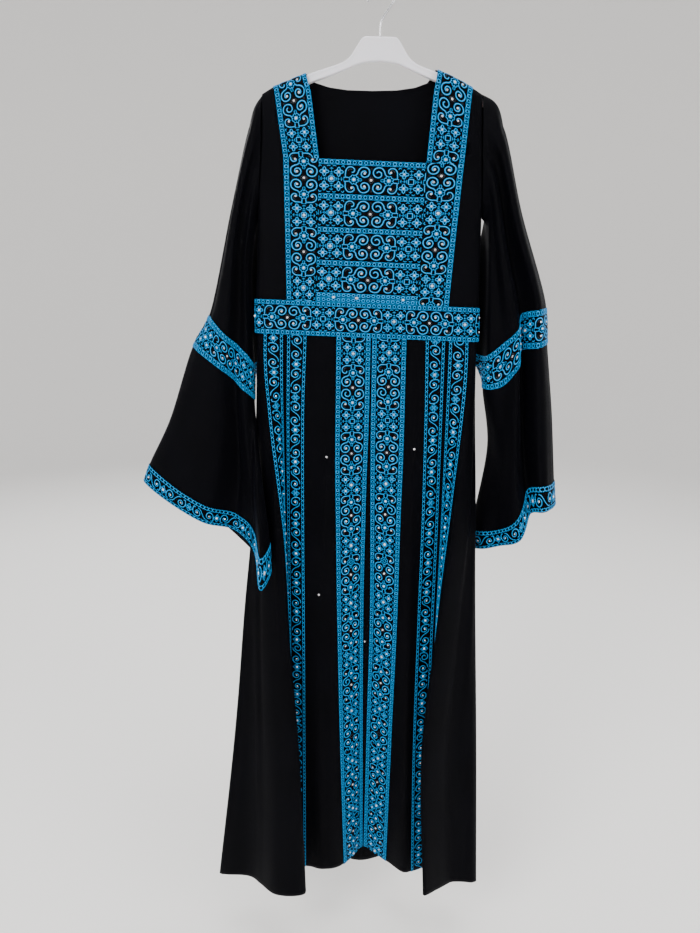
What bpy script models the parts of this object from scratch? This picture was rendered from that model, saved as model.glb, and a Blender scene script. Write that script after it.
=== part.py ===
"""A long black thobe dress with wide embroidered trims, hanging on a hanger.

The origin is the inner top of the hanger's hook.  +Z is up, the front of the dress
faces -Y and +X is to the right of somebody looking at the front.
"""

import bmesh
import bpy
import numpy as np
from mathutils import Vector

# ---------------------------------------------------------------- driving sizes (metres)
CLOTH = 0.0016            # wall of every cloth panel
TRIM = 0.0012             # wall of every trim that is sewn on a panel
GAP = 0.0003              # air between a trim and its panel, and across a seam
BAND_GAP = 0.0010         # air under the waistband, which bridges the waist seam
BENT_SEAM = 0.0011        # drawn in from a seam where the cloth also turns
NECK_TURN = 0.0045        # the back neck leaves the shoulder ridge within this width
VALLEY_CLEAR = 0.0035     # a side strip starts this far from the valley of its fold
ARMHOLE_CLEAR = 0.0012    # the sleeve starts this far outside the bodice's side

DRESS_X = -0.012          # the dress hangs a little to one side of the hook
WAIST_Z = -0.520          # seam between bodice and skirt
NECK_Z = -0.264           # lower edge of the square neck
TILT = 0.035              # the waist runs down to the right by this slope
TILT_FROM = -0.150        # height at which that slope starts
TILT_FULL = -0.250        # height from which it is whole

WAIST_X = -0.0165         # centre of the waist
WAIST_HALF = 0.1905       # half the flat width at the waist
WAIST_FRONT = 0.030       # how far the waist stands forward
WAIST_BACK = 0.020        # and how far back
FLATNESS = 7.0            # exponent of the flat oval that the body is in plan

BAND_TOP = -0.492         # waistband
BAND_BOTTOM = -0.5485
BAND_COLUMNS = 36
WIDE_TRIM = 0.058         # centre strips
NARROW_TRIM = 0.034       # side strips
SIDE_STEPS = (0.0, 0.4, 0.7, 0.9)     # columns round the side, as shares of the depth
RIDGE_STEPS = ((0.0, 0.03), (0.0002, 0.3), (0.0035, 0.75), (0.012, 1.0))

# ---------------------------------------------------------------- colours
BLACK = (0.012, 0.012, 0.014, 1.0)
BLUE = (0.03, 0.33, 0.56, 1.0)
WHITE = (0.78, 0.77, 0.80, 1.0)
STEEL = (0.62, 0.62, 0.64, 1.0)

# ---------------------------------------------------------------- tables
# Top of the shoulders, from the left armhole to the right one.
#            x       z
SHOULDER = ((-0.190, -0.1625), (-0.171, -0.1510), (-0.150, -0.1435), (-0.118, -0.1310),
            (0.090, -0.1240), (0.120, -0.1365), (0.148, -0.1500), (0.166, -0.1600))

# Back neck: distance from its middle, height.
BACK_NECK = ((-0.106, -0.1310), (-0.095, -0.1405), (-0.070, -0.1480), (-0.040, -0.1520),
             (0.0, -0.1530), (0.040, -0.1520), (0.070, -0.1480), (0.090, -0.1410),
             (0.102, -0.1247))

# The bodice by height.  half: half width; front, back: depths of the flat oval;
# edge: depth at its side edge, which is open along the armhole.
#           z      half    front   back    edge
BODICE = ((-0.160, 0.1780, 0.0135, 0.0120, 0.0060),
          (-0.190, 0.1780, 0.0138, 0.0124, 0.0130),
          (-0.230, 0.1795, 0.0142, 0.0130, 0.0140),
          (-0.270, 0.1815, 0.0150, 0.0135, 0.0140),
          (-0.315, 0.1840, 0.0170, 0.0140, 0.0120),
          (-0.357, 0.1865, 0.0195, 0.0150, 0.0000),
          (-0.430, 0.1885, 0.0240, 0.0170, 0.0000),
          (-0.520, 0.1905, 0.0300, 0.0200, 0.0000))

# Edges of the straps by height (x).
#           z       left outer  left inner  right inner  right outer
STRAPS = ((-0.125, -0.1810, -0.1210, 0.0930, 0.1560),
          (-0.160, -0.1690, -0.1110, 0.0870, 0.1480),
          (-0.264, -0.1560, -0.0980, 0.0780, 0.1390),
          (-0.380, -0.1540, -0.1000, 0.0730, 0.1290),
          (-0.520, -0.1520, -0.1050, 0.0660, 0.1180))

# Heights that part the embroidered rows of the chest, the last one a plain border.
CHEST_ROWS = (-0.264, -0.3175, -0.3705, -0.4235, -0.4765, -0.4915)

# Skirt folds, all round from the left side seam over the front.  drop: share of the
# way from the band to the hem of each level; x and y are the fold's place at it.
SKIRT_DROPS = (0.0253, 0.144, 0.289, 0.493, 0.735, 1.0)
#  name        x at the six levels                              y at the last five          hem z
SKIRT_FOLDS = (
    ("seam_l", (-0.2040, -0.205, -0.212, -0.232, -0.254, -0.286),
               (0.010, 0.012, 0.016, 0.024, 0.030), -1.648),
    ("side_l", (-0.2070, -0.210, -0.218, -0.242, -0.271, -0.309),
               (-0.005, -0.006, -0.008, -0.012, -0.015), -1.640),
    ("groove_l", (-0.2040, -0.206, -0.214, -0.226, -0.236, -0.243),
                 (-0.018, -0.018, -0.020, -0.022, -0.028), -1.636),
    ("bulge_l", (-0.1980, -0.193, -0.192, -0.192, -0.188, -0.186),
                (-0.031, -0.038, -0.046, -0.060, -0.074), -1.636),
    ("ridge_l", (-0.1900, -0.177, -0.167, -0.157, -0.138, -0.128),
                (-0.034, -0.045, -0.054, -0.066, -0.070), -1.636),
    ("wall_l", (-0.1740, -0.168, -0.163, -0.158, -0.148, -0.141),
               (-0.024, -0.029, -0.034, -0.036, -0.036), -1.636),
    ("valley_l", (-0.1560, -0.160, -0.162, -0.163, -0.165, -0.167),
                 (-0.016, -0.012, -0.008, -0.004, 0.000), -1.636),
    ("inner_l", (-0.1220, -0.124, -0.125, -0.126, -0.126, -0.124),
                (-0.025, -0.020, -0.015, -0.008, 0.000), -1.636),
    ("black_l", (-0.0970, -0.097, -0.098, -0.099, -0.099, -0.098),
                (-0.029, -0.026, -0.020, -0.014, -0.008), -1.636),
    ("front_l", (-0.0690, -0.070, -0.071, -0.072, -0.069, -0.063),
                (-0.030, -0.028, -0.022, -0.012, 0.000), -1.636),
    ("slope_l", (-0.0400, -0.041, -0.043, -0.044, -0.041, -0.037),
                (-0.029, -0.020, -0.008, 0.006, 0.024), -1.634),
    ("middle", (-0.0090, -0.010, -0.011, -0.011, -0.012, -0.012),
               (-0.027, -0.008, 0.011, 0.028, 0.048), -1.626),
    ("slope_r", (0.0200, 0.020, 0.021, 0.023, 0.021, 0.016),
                (-0.029, -0.019, -0.007, 0.010, 0.031), -1.632),
    ("front_r", (0.0480, 0.049, 0.049, 0.051, 0.049, 0.043),
                (-0.030, -0.028, -0.020, -0.008, 0.010), -1.636),
    ("black_r", (0.0690, 0.068, 0.067, 0.068, 0.069, 0.071),
                (-0.029, -0.027, -0.022, -0.018, -0.015), -1.636),
    ("inner_r", (0.0860, 0.087, 0.086, 0.084, 0.084, 0.090),
                (-0.025, -0.021, -0.016, -0.013, -0.010), -1.636),
    ("valley_r", (0.1200, 0.121, 0.121, 0.119, 0.117, 0.120),
                 (-0.018, -0.012, -0.008, -0.004, 0.000), -1.636),
    ("wall_r", (0.1370, 0.137, 0.132, 0.120, 0.107, 0.112),
               (-0.028, -0.032, -0.036, -0.038, -0.038), -1.636),
    ("ridge_r", (0.1550, 0.152, 0.142, 0.116, 0.094, 0.106),
                (-0.038, -0.050, -0.060, -0.070, -0.074), -1.636),
    ("bulge_r", (0.1640, 0.164, 0.160, 0.143, 0.128, 0.136),
                (-0.034, -0.042, -0.051, -0.060, -0.058), -1.636),
    ("groove_r", (0.1700, 0.172, 0.174, 0.170, 0.160, 0.168),
                 (-0.020, -0.026, -0.032, -0.036, -0.040), -1.636),
    ("side_r", (0.1740, 0.177, 0.184, 0.194, 0.206, 0.218),
               (-0.006, -0.010, -0.016, -0.024, -0.032), -1.640),
    ("seam_r", (0.1710, 0.173, 0.178, 0.188, 0.198, 0.206),
               (0.010, 0.011, 0.014, 0.018, 0.020), -1.648),
    ("back_1", (0.1450, 0.146, 0.150, 0.157, 0.166, 0.176),
               (0.024, 0.034, 0.046, 0.060, 0.072), -1.662),
    ("back_2", (0.1000, 0.100, 0.103, 0.108, 0.114, 0.120),
               (0.022, 0.027, 0.034, 0.042, 0.050), -1.672),
    ("back_3", (0.0480, 0.048, 0.050, 0.053, 0.057, 0.062),
               (0.029, 0.042, 0.056, 0.074, 0.090), -1.680),
    ("back_4", (-0.0140, -0.014, -0.015, -0.016, -0.017, -0.018),
               (0.024, 0.033, 0.044, 0.056, 0.068), -1.680),
    ("back_5", (-0.0800, -0.080, -0.082, -0.086, -0.092, -0.098),
               (0.030, 0.043, 0.058, 0.076, 0.092), -1.680),
    ("back_6", (-0.1310, -0.132, -0.136, -0.142, -0.150, -0.160),
               (0.022, 0.027, 0.034, 0.042, 0.050), -1.672),
    ("back_7", (-0.1760, -0.177, -0.182, -0.194, -0.210, -0.232),
               (0.022, 0.032, 0.044, 0.058, 0.070), -1.662),
)
# Plain cloth that shows between the two centre strips, at the six levels.
MIDDLE_GAPS = (0.003, 0.004, 0.009, 0.014, 0.009, 0.003)
SKIRT_ROWS = (0.0, 0.0256, 0.09, 0.17, 0.26, 0.36, 0.47, 0.59, 0.72, 0.86, 1.0)

# Sleeve folds, round from the outer edge over the front to the inner edge and back.
# Each has its place (x, y, z) at eight rings: armhole, cap, upper arm, top and bottom
# of the wide band, middle of the flare, top of the hem trim and hem.
LEFT_SLEEVE = (
    ("outer", (-0.190, 0.000, -0.164), (-0.212, 0.000, -0.210), (-0.245, -0.002, -0.335),
              (-0.289, -0.004, -0.513), (-0.319, -0.004, -0.566), (-0.366, -0.006, -0.697),
              (-0.405, -0.008, -0.775), (-0.417, -0.008, -0.806)),
    ("front_1", (-0.190, -0.012, -0.174), (-0.209, -0.015, -0.218), (-0.241, -0.018, -0.345),
                (-0.281, -0.024, -0.519), (-0.308, -0.026, -0.573), (-0.350, -0.030, -0.707),
                (-0.385, -0.032, -0.787), (-0.396, -0.032, -0.818)),
    ("front_2", (-0.192, -0.018, -0.210), (-0.206, -0.026, -0.250), (-0.236, -0.032, -0.372),
                (-0.257, -0.040, -0.544), (-0.266, -0.042, -0.603), (-0.276, -0.048, -0.745),
                (-0.300, -0.048, -0.842), (-0.306, -0.048, -0.873)),
    ("front_3", (-0.193, -0.018, -0.262), (-0.204, -0.018, -0.282), (-0.228, -0.018, -0.402),
                (-0.238, -0.020, -0.563), (-0.245, -0.020, -0.625), (-0.243, -0.016, -0.765),
                (-0.252, -0.020, -0.863), (-0.258, -0.020, -0.894)),
    ("front_4", (-0.194, -0.017, -0.298), (-0.203, -0.020, -0.314), (-0.221, -0.026, -0.432),
                (-0.224, -0.028, -0.576), (-0.229, -0.030, -0.640), (-0.226, -0.034, -0.785),
                (-0.228, -0.034, -0.875), (-0.233, -0.034, -0.907)),
    ("front_5", (-0.196, -0.010, -0.330), (-0.203, -0.012, -0.344), (-0.218, -0.016, -0.452),
                (-0.216, -0.018, -0.590), (-0.218, -0.020, -0.652), (-0.217, -0.040, -0.800),
                (-0.214, -0.044, -0.893), (-0.215, -0.044, -0.932)),
    ("inner", (-0.198, 0.000, -0.357), (-0.204, 0.000, -0.368), (-0.214, -0.004, -0.465),
              (-0.213, -0.006, -0.596), (-0.214, -0.010, -0.658), (-0.206, -0.064, -0.812),
              (-0.199, -0.086, -0.925), (-0.200, -0.092, -0.985)),
    ("back_5", (-0.197, 0.006, -0.342), (-0.204, 0.008, -0.354), (-0.2165, 0.009, -0.458),
               (-0.2150, 0.010, -0.595), (-0.2145, 0.002, -0.657), (-0.197, -0.050, -0.805),
               (-0.186, -0.060, -0.905), (-0.185, -0.062, -0.958)),
    ("back_4", (-0.195, 0.012, -0.318), (-0.203, 0.014, -0.332), (-0.200, 0.0205, -0.440),
               (-0.2110, 0.0180, -0.592), (-0.2180, 0.012, -0.652), (-0.206, -0.036, -0.800),
               (-0.200, -0.045, -0.903), (-0.199, -0.047, -0.948)),
    ("back_3", (-0.193, 0.016, -0.275), (-0.204, 0.018, -0.295), (-0.227, 0.016, -0.410),
               (-0.232, 0.016, -0.572), (-0.238, 0.016, -0.632), (-0.228, -0.022, -0.785),
               (-0.229, -0.026, -0.885), (-0.233, -0.026, -0.920)),
    ("back_2", (-0.192, 0.018, -0.210), (-0.206, 0.018, -0.250), (-0.236, 0.016, -0.372),
               (-0.258, 0.018, -0.545), (-0.269, 0.018, -0.605), (-0.275, 0.012, -0.745),
               (-0.288, 0.008, -0.850), (-0.293, 0.008, -0.881)),
    ("back_1", (-0.190, 0.012, -0.174), (-0.209, 0.014, -0.218), (-0.241, 0.012, -0.345),
               (-0.281, 0.014, -0.520), (-0.307, 0.014, -0.575), (-0.348, 0.016, -0.709),
               (-0.380, 0.016, -0.792), (-0.390, 0.016, -0.823)),
)
RIGHT_SLEEVE = (
    ("outer", (0.167, 0.000, -0.1605), (0.203, 0.000, -0.208), (0.240, -0.002, -0.340),
              (0.291, -0.004, -0.497), (0.297, -0.004, -0.557), (0.313, -0.006, -0.680),
              (0.325, -0.008, -0.801), (0.330, -0.008, -0.846)),
    ("front_1", (0.168, -0.012, -0.172), (0.199, -0.015, -0.216), (0.236, -0.020, -0.348),
                (0.283, -0.026, -0.498), (0.289, -0.028, -0.559), (0.303, -0.034, -0.682),
                (0.313, -0.036, -0.801), (0.317, -0.036, -0.847)),
    ("front_2", (0.170, -0.018, -0.205), (0.194, -0.026, -0.245), (0.228, -0.034, -0.370),
                (0.270, -0.040, -0.501), (0.274, -0.042, -0.564), (0.280, -0.050, -0.690),
                (0.291, -0.052, -0.802), (0.298, -0.052, -0.850)),
    ("front_3", (0.171, -0.017, -0.245), (0.189, -0.016, -0.268), (0.219, -0.012, -0.395),
                (0.247, -0.014, -0.508), (0.250, -0.016, -0.570), (0.262, -0.016, -0.715),
                (0.274, -0.022, -0.815), (0.283, -0.022, -0.862)),
    ("front_4", (0.172, -0.018, -0.270), (0.186, -0.026, -0.295), (0.210, -0.036, -0.415),
                (0.236, -0.042, -0.535), (0.241, -0.044, -0.598), (0.243, -0.046, -0.765),
                (0.252, -0.044, -0.868), (0.262, -0.044, -0.905)),
    ("front_5", (0.174, -0.016, -0.300), (0.183, -0.020, -0.320), (0.200, -0.022, -0.440),
                (0.213, -0.028, -0.560), (0.220, -0.030, -0.629), (0.226, -0.022, -0.775),
                (0.226, -0.010, -0.896), (0.232, -0.008, -0.928)),
    ("front_6", (0.176, -0.010, -0.330), (0.182, -0.012, -0.345), (0.190, -0.014, -0.460),
                (0.194, -0.020, -0.577), (0.199, -0.020, -0.637), (0.212, -0.002, -0.755),
                (0.200, 0.008, -0.904), (0.204, 0.010, -0.940)),
    ("inner", (0.178, 0.000, -0.350), (0.181, 0.000, -0.362), (0.1865, 0.003, -0.470),
              (0.1870, 0.004, -0.580), (0.189, -0.002, -0.636), (0.205, 0.012, -0.745),
              (0.186, 0.032, -0.906), (0.189, 0.034, -0.944)),
    ("back_4", (0.176, 0.010, -0.330), (0.182, 0.012, -0.345), (0.170, 0.0215, -0.450),
               (0.1735, 0.0255, -0.572), (0.198, 0.014, -0.637), (0.213, 0.026, -0.755),
               (0.202, 0.046, -0.902), (0.206, 0.048, -0.938)),
    ("back_3", (0.173, 0.016, -0.285), (0.186, 0.018, -0.305), (0.208, 0.018, -0.420),
               (0.225, 0.018, -0.548), (0.232, 0.020, -0.610), (0.240, 0.034, -0.755),
               (0.240, 0.046, -0.880), (0.246, 0.048, -0.912)),
    ("back_2", (0.170, 0.018, -0.205), (0.194, 0.018, -0.245), (0.228, 0.018, -0.370),
               (0.262, 0.018, -0.508), (0.267, 0.020, -0.570), (0.276, 0.030, -0.705),
               (0.283, 0.034, -0.825), (0.288, 0.034, -0.868)),
    ("back_1", (0.168, 0.012, -0.172), (0.199, 0.014, -0.216), (0.236, 0.012, -0.348),
               (0.282, 0.014, -0.500), (0.288, 0.016, -0.561), (0.303, 0.022, -0.685),
               (0.314, 0.024, -0.805), (0.318, 0.024, -0.850)),
)
SLEEVES = (("left", LEFT_SLEEVE, 0.004), ("right", RIGHT_SLEEVE, 0.009))
CAP_REACH = 0.05          # the cap is swollen down to this far below its top
UPPER_RINGS = (0.0, 0.3, 0.65, 1.0, 1.5, 2.0, 3.0, 3.5)
FLARE_RINGS = (3.5, 4.0, 4.5, 5.0, 5.5, 6.0, 7.0)
BAND_RINGS = (3.0, 3.5, 4.0)
HEM_RINGS = (6.0, 7.0)

# Hanger: distance from the hook, upper edge, lower edge and half depth of the plate and arms.
#            x      top      bottom   half depth
HANGER = ((0.000, -0.0770, -0.1130, 0.0045),
          (0.024, -0.0770, -0.1150, 0.0045),
          (0.031, -0.0820, -0.1170, 0.0045),
          (0.037, -0.0910, -0.1190, 0.0045),
          (0.048, -0.1070, -0.1235, 0.0050),
          (0.062, -0.1165, -0.1295, 0.0060),
          (0.085, -0.1245, -0.1385, 0.0065),
          (0.111, -0.1333, -0.1475, 0.0065),
          (0.120, -0.1378, -0.1520, 0.0065),
          (0.148, -0.1517, -0.1650, 0.0065),
          (0.166, -0.1622, -0.1745, 0.0060),
          (0.176, -0.1692, -0.1780, 0.0040))
HANGER_TILT = 0.02        # the right arm hangs lower by this slope
ROUNDNESS = 0.7           # 1 makes the arms' sections oval, 0 makes them square
HOOK_RADIUS = 0.0193      # inner radius of the hook
HOOK_WIRE = 0.0017        # radius of its wire
HOOK_FOOT = -0.0765       # the wire's lower end, just above the plate


# ---------------------------------------------------------------- curves and tables
def between(table, at):
    """Rows of a table (first column increasing or falling) read at a value, in straight lines."""
    rows = sorted(table)
    keys = [row[0] for row in rows]
    return [float(np.interp(at, keys, [row[c] for row in rows])) for c in range(1, len(rows[0]))]


def smooth_along(knots, values, at):
    """Smooth, never overshooting, reading of values (last axis follows the knots)."""
    knots = np.asarray(knots, float)
    values = np.asarray(values, float)
    at = min(max(at, knots[0]), knots[-1])
    step = np.diff(knots)
    slope = np.diff(values, axis=-1) / step
    before, after = slope[..., :-1], slope[..., 1:]
    same = before * after > 0
    total = np.where(same, before + after, 1.0)
    inner = np.where(same, 2.0 * before * after / total, 0.0)
    tangent = np.concatenate([slope[..., :1], inner, slope[..., -1:]], axis=-1)
    k = min(int(np.searchsorted(knots, at, side="right")) - 1, len(step) - 1)
    t = (at - knots[k]) / step[k]
    return ((2 * t**3 - 3 * t**2 + 1) * values[..., k] + (3 * t**2 - 2 * t**3) * values[..., k + 1]
            + (t**3 - 2 * t**2 + t) * step[k] * tangent[..., k]
            + (t**3 - t**2) * step[k] * tangent[..., k + 1])


def closed_curve(points, steps):
    """A smooth closed curve through the points, with the given steps in each span."""
    points = np.asarray(points, float)
    ahead = np.roll(points, -1, axis=0)
    span = np.sqrt(np.linalg.norm(ahead - points, axis=1)) + 1e-9
    slope = (ahead - points) / span[:, None]
    before = np.roll(slope, 1, axis=0)
    span_before = np.roll(span, 1)[:, None]
    tangent = (before * span[:, None] + slope * span_before) / (span[:, None] + span_before)
    tangent_ahead = np.roll(tangent, -1, axis=0)
    t = np.arange(steps)[None, :, None] / steps
    h = span[:, None, None]
    curve = ((2 * t**3 - 3 * t**2 + 1) * points[:, None] + (3 * t**2 - 2 * t**3) * ahead[:, None]
             + (t**3 - 2 * t**2 + t) * h * tangent[:, None]
             + (t**3 - t**2) * h * tangent_ahead[:, None])
    curve = curve.reshape(-1, 3)
    return np.vstack([curve, curve[:1]])


def lengths_along(curve):
    """Distance along a curve at each of its points."""
    return np.concatenate([[0.0], np.cumsum(np.linalg.norm(np.diff(curve, axis=0), axis=1))])


def subdivided(marks, divisions):
    """Marks with evenly spaced values between them."""
    values = [marks[0]]
    for start, end, count in zip(marks, marks[1:], divisions):
        values += [start + (end - start) * (k + 1) / count for k in range(count)]
    return values


# ---------------------------------------------------------------- forms
def tilted(points, share=1.0):
    """The waist of the dress runs down to the right."""
    points = np.array(points, float)
    ramp = np.clip((TILT_FROM - points[..., 2]) / (TILT_FROM - TILT_FULL), 0.0, 1.0)
    points[..., 2] -= TILT * ramp * share * (points[..., 0] - DRESS_X)
    return points


def body_centre(z):
    """Middle of the body at a height."""
    return float(np.interp(z, (WAIST_Z, NECK_Z), (WAIST_X, DRESS_X)))


def oval_share(offset, half):
    """Depth of the flat oval as a share, at a distance from its middle."""
    return (1.0 - min(abs(offset) / half, 1.0) ** FLATNESS) ** (1.0 / FLATNESS)


def oval_offset(share, half):
    """Distance from the middle at which the flat oval has a share of its depth."""
    return half * (1.0 - share ** FLATNESS) ** (1.0 / FLATNESS)


def bodice_point(x, z, is_front, depth_share, ridge_share=1.0):
    """A point of the bodice's outer face."""
    half, front, back, edge = between(BODICE, z)
    depth = front if is_front else back
    edge = min(edge, depth)
    y = (edge + (depth - edge) * depth_share) * ridge_share
    return (x, -y if is_front else y, z)


def bodice_row(marks, divisions, z_of_x, is_front, ridge_share):
    """One row of points from the left side to the right; z_of_x gives the height."""
    row = []
    for side in (-1, 1):
        edge_points = []
        for share in SIDE_STEPS:
            z = z_of_x(body_centre(-0.3) + side * WAIST_HALF)
            half = between(BODICE, z)[0]
            x = body_centre(z) + side * oval_offset(share, half)
            edge_points.append(bodice_point(x, z_of_x(x), is_front, share, ridge_share))
        if side < 0:
            row += edge_points
            for x in subdivided(marks, divisions):
                z = z_of_x(x)
                half = between(BODICE, z)[0]
                share = oval_share(x - body_centre(z), half)
                row.append(bodice_point(x, z, is_front, share, ridge_share))
        else:
            row += edge_points[::-1]
    return row


FRONT_DIVISIONS = (2, 4, 2)
BACK_DIVISIONS = (1, 2, 2, 2, 2, 1)
FRONT_SIDE = len(SIDE_STEPS)


def bodice_front_grid():
    """Rows of the front bodice from the shoulders down, and the index of the neck row."""
    rows = []
    for drop, ridge in RIDGE_STEPS:
        def height(x, drop=drop):
            return between(SHOULDER, x)[0] - drop
        rows.append(bodice_row(strap_marks(height), FRONT_DIVISIONS, height, True, ridge))
    for share in (0.3, 0.65, 1.0):
        def height(x, share=share):
            top = between(SHOULDER, x)[0] - RIDGE_STEPS[-1][0]
            return top + (NECK_Z - top) * share
        rows.append(bodice_row(strap_marks(height), FRONT_DIVISIONS, height, True, 1.0))
    neck_row = len(rows) - 1
    for level in CHEST_ROWS[1:] + (WAIST_Z,):
        def height(x, level=level):
            return level
        rows.append(bodice_row(strap_marks(height), FRONT_DIVISIONS, height, True, 1.0))
    return tilted(rows), neck_row


def strap_marks(height):
    """Strap edges (x) on a row of the bodice, found where each edge meets the row."""
    marks = []
    for column in range(4):
        x = between(STRAPS, NECK_Z)[column]
        for _ in range(4):
            x = between(STRAPS, height(x))[column]
        marks.append(x)
    return marks


def bodice_back_grid():
    """Rows of the back bodice from the shoulders and the round neck down."""
    corners = (BACK_NECK[0][0], BACK_NECK[-1][0])
    offsets = (corners[0], corners[0] + NECK_TURN, -0.06, 0.0, 0.06,
               corners[1] - NECK_TURN, corners[1])
    marks = [DRESS_X + offset for offset in offsets]

    def top(x):
        shoulder = between(SHOULDER, x)[0]
        in_neck = BACK_NECK[0][0] < x - DRESS_X < BACK_NECK[-1][0]
        return min(shoulder, between(BACK_NECK, x - DRESS_X)[0]) if in_neck else shoulder

    rows = []
    for drop, ridge in RIDGE_STEPS:
        def height(x, drop=drop):
            return top(x) - drop
        row = bodice_row(marks, BACK_DIVISIONS, height, False, ridge)
        flat = [bodice_point(p[0], p[2], False, 1.0) for p in row]
        # only the shoulders are rounded over the hanger's arms, the neck edge is not
        row = [f if corners[0] + 0.001 < p[0] - DRESS_X < corners[1] - 0.001 else p
               for p, f in zip(row, flat)]
        rows.append(row)
    for share in (0.25, 0.5, 0.75, 1.0):
        def height(x, share=share):
            start = top(x) - RIDGE_STEPS[-1][0]
            return start + (WAIST_Z - start) * share
        rows.append(bodice_row(marks, BACK_DIVISIONS, height, False, 1.0))
    return tilted(rows)


def skirt_ring(drop, steps=12):
    """The skirt's closed section at a share of its drop, and where each fold is on it."""
    points = []
    for name, xs, ys, hem in SKIRT_FOLDS:
        share = oval_share(xs[0] - WAIST_X, WAIST_HALF)
        if name.startswith("seam"):
            share = 0.6
        if name.startswith(("back", "seam")):
            first = WAIST_BACK * share
        else:
            first = -WAIST_FRONT * share
        x = smooth_along(SKIRT_DROPS, xs, drop)
        y = smooth_along(SKIRT_DROPS, (first,) + ys, drop)
        z = WAIST_Z + (hem - WAIST_Z) * drop
        points.append((x, y, z))
    ring = closed_curve(points, steps)
    return tilted(ring, 1.0 - drop)


def fold_index(name):
    """Place of a fold in the skirt's table."""
    return [row[0] for row in SKIRT_FOLDS].index(name)


def skirt_grid(marks, divisions):
    """Rows of a skirt panel from the waist down; marks are (fold, metres on from it)."""
    steps = 12
    rows = []
    for drop in SKIRT_ROWS:
        ring = skirt_ring(drop, steps)
        along = lengths_along(ring)
        gap = smooth_along(SKIRT_DROPS, MIDDLE_GAPS, drop)
        places = []
        for name, offset, gap_share in marks:
            index = fold_index(name) * steps if name != "end" else len(along) - 1
            places.append(along[index] + offset + gap * gap_share)
        places = subdivided(places, divisions)
        rows.append([[np.interp(s, along, ring[:, axis]) for axis in range(3)] for s in places])
    return np.array(rows)


def sleeve_grid(folds, cap_round, rings, steps=2):
    """Rows of a sleeve tube; the last column repeats the first.  cap_round swells its cap."""
    places = np.array([row[1:] for row in folds], float)
    side = np.sign(places[0, 0, 0])
    for place in places[:, 0]:
        half = between(BODICE, place[2])[0]
        place[0] = body_centre(place[2]) + side * (half + ARMHOLE_CLEAR)
    if side > 0:
        places = places[::-1]
    knots = range(places.shape[1])
    rows = []
    for ring in rings:
        points = smooth_along(knots, np.swapaxes(places, 1, 2), ring)
        near_top = np.clip(1 - (points[:, 2].max() - points[:, 2]) / CAP_REACH, 0, 1)
        swell = cap_round * np.sin(np.pi * min(ring, 1)) * near_top
        points = points + swell[:, None] * np.array((0.6 * side, 0, 0.8))
        rows.append(closed_curve(points, steps))
    return np.array(rows)


# ---------------------------------------------------------------- meshes
def grid_normals(grid, closed):
    """Outward normals of a grid whose columns run round to the right and rows run down."""
    across = np.gradient(grid, axis=1)
    if closed:
        ends = (grid[:, 1] - grid[:, -2]) / 2
        across[:, 0] = ends
        across[:, -1] = ends
    down = np.gradient(grid, axis=0)
    normal = np.cross(down, across)
    return normal / (np.linalg.norm(normal, axis=2, keepdims=True) + 1e-12)


def pulled_in(grid, amount, closed):
    """The grid with its open edges drawn in along itself, to leave air at the seams."""
    grid = grid.copy()
    edges = [(0, 1, 0), (-1, -2, 0)]
    if not closed:
        edges += [(0, 1, 1), (-1, -2, 1)]
    for edge, neighbour, axis in edges:
        line = np.take(grid, edge, axis=axis)
        inner = np.take(grid, neighbour, axis=axis)
        reach = np.linalg.norm(inner - line, axis=1, keepdims=True)
        moved = line + (inner - line) * np.minimum(amount / np.maximum(reach, 1e-9), 0.5)
        if axis == 0:
            grid[edge] = moved
        else:
            grid[:, edge] = moved
    return grid


def sheet(name, grid, thickness, outward, material, closed=False, cut=None):
    """A cloth wall: a grid shaped to the given points and given its thickness."""
    rows, columns = grid.shape[:2]
    bm = bmesh.new()
    bmesh.ops.create_grid(bm, x_segments=columns - 1, y_segments=rows - 1, size=1.0)
    bm.verts.ensure_lookup_table()
    flipped = grid[::-1]
    for index, vert in enumerate(bm.verts):
        vert.co = Vector(flipped[index // columns, index % columns])
    if cut is not None:
        first_row, last_row, first_column, last_column = cut
        unwanted = []
        for index, face in enumerate(bm.faces):
            row = rows - 2 - index // (columns - 1)
            column = index % (columns - 1)
            if first_row <= row < last_row and first_column <= column < last_column:
                unwanted.append(face)
        bmesh.ops.delete(bm, geom=unwanted, context="FACES")
    if closed:
        bmesh.ops.remove_doubles(bm, verts=bm.verts, dist=0.00001)
    bmesh.ops.triangulate(bm, faces=bm.faces, quad_method="FIXED")
    mesh = bpy.data.meshes.new(name)
    bm.to_mesh(mesh)
    bm.free()
    mesh.shade_smooth()
    mesh.materials.append(material)
    piece = bpy.data.objects.new(name, mesh)
    parts.objects.link(piece)
    wall = piece.modifiers.new("Wall", "SOLIDIFY")
    wall.thickness = thickness
    wall.offset = 1.0 if outward else -1.0
    return piece


def panel(name, grid, closed=False, cut=None, draw_in=GAP / 2):
    """A cut piece of the black cloth; its outer face is the grid."""
    return sheet(name, pulled_in(grid, draw_in, closed), CLOTH, False, cloth_material, closed, cut)


def trim(name, grid, rows, columns, gap=GAP, closed=False):
    """A trim that lies on part of a panel: the panel's own points, moved out."""
    normals = grid_normals(grid, closed)
    raised = grid + normals * gap
    part = raised[rows[0]:rows[1] + 1, columns[0]:columns[1] + 1]
    return sheet(name, pulled_in(part, GAP / 2, closed), TRIM, True, trim_material, closed)


def finish(name, colour, roughness, metallic=0.0):
    """A plain Principled material."""
    material = bpy.data.materials.new(name)
    material.use_nodes = True
    shader = material.node_tree.nodes["Principled BSDF"]
    shader.inputs["Base Color"].default_value = colour
    shader.inputs["Roughness"].default_value = roughness
    shader.inputs["Metallic"].default_value = metallic
    material.diffuse_color = colour
    return material


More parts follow.
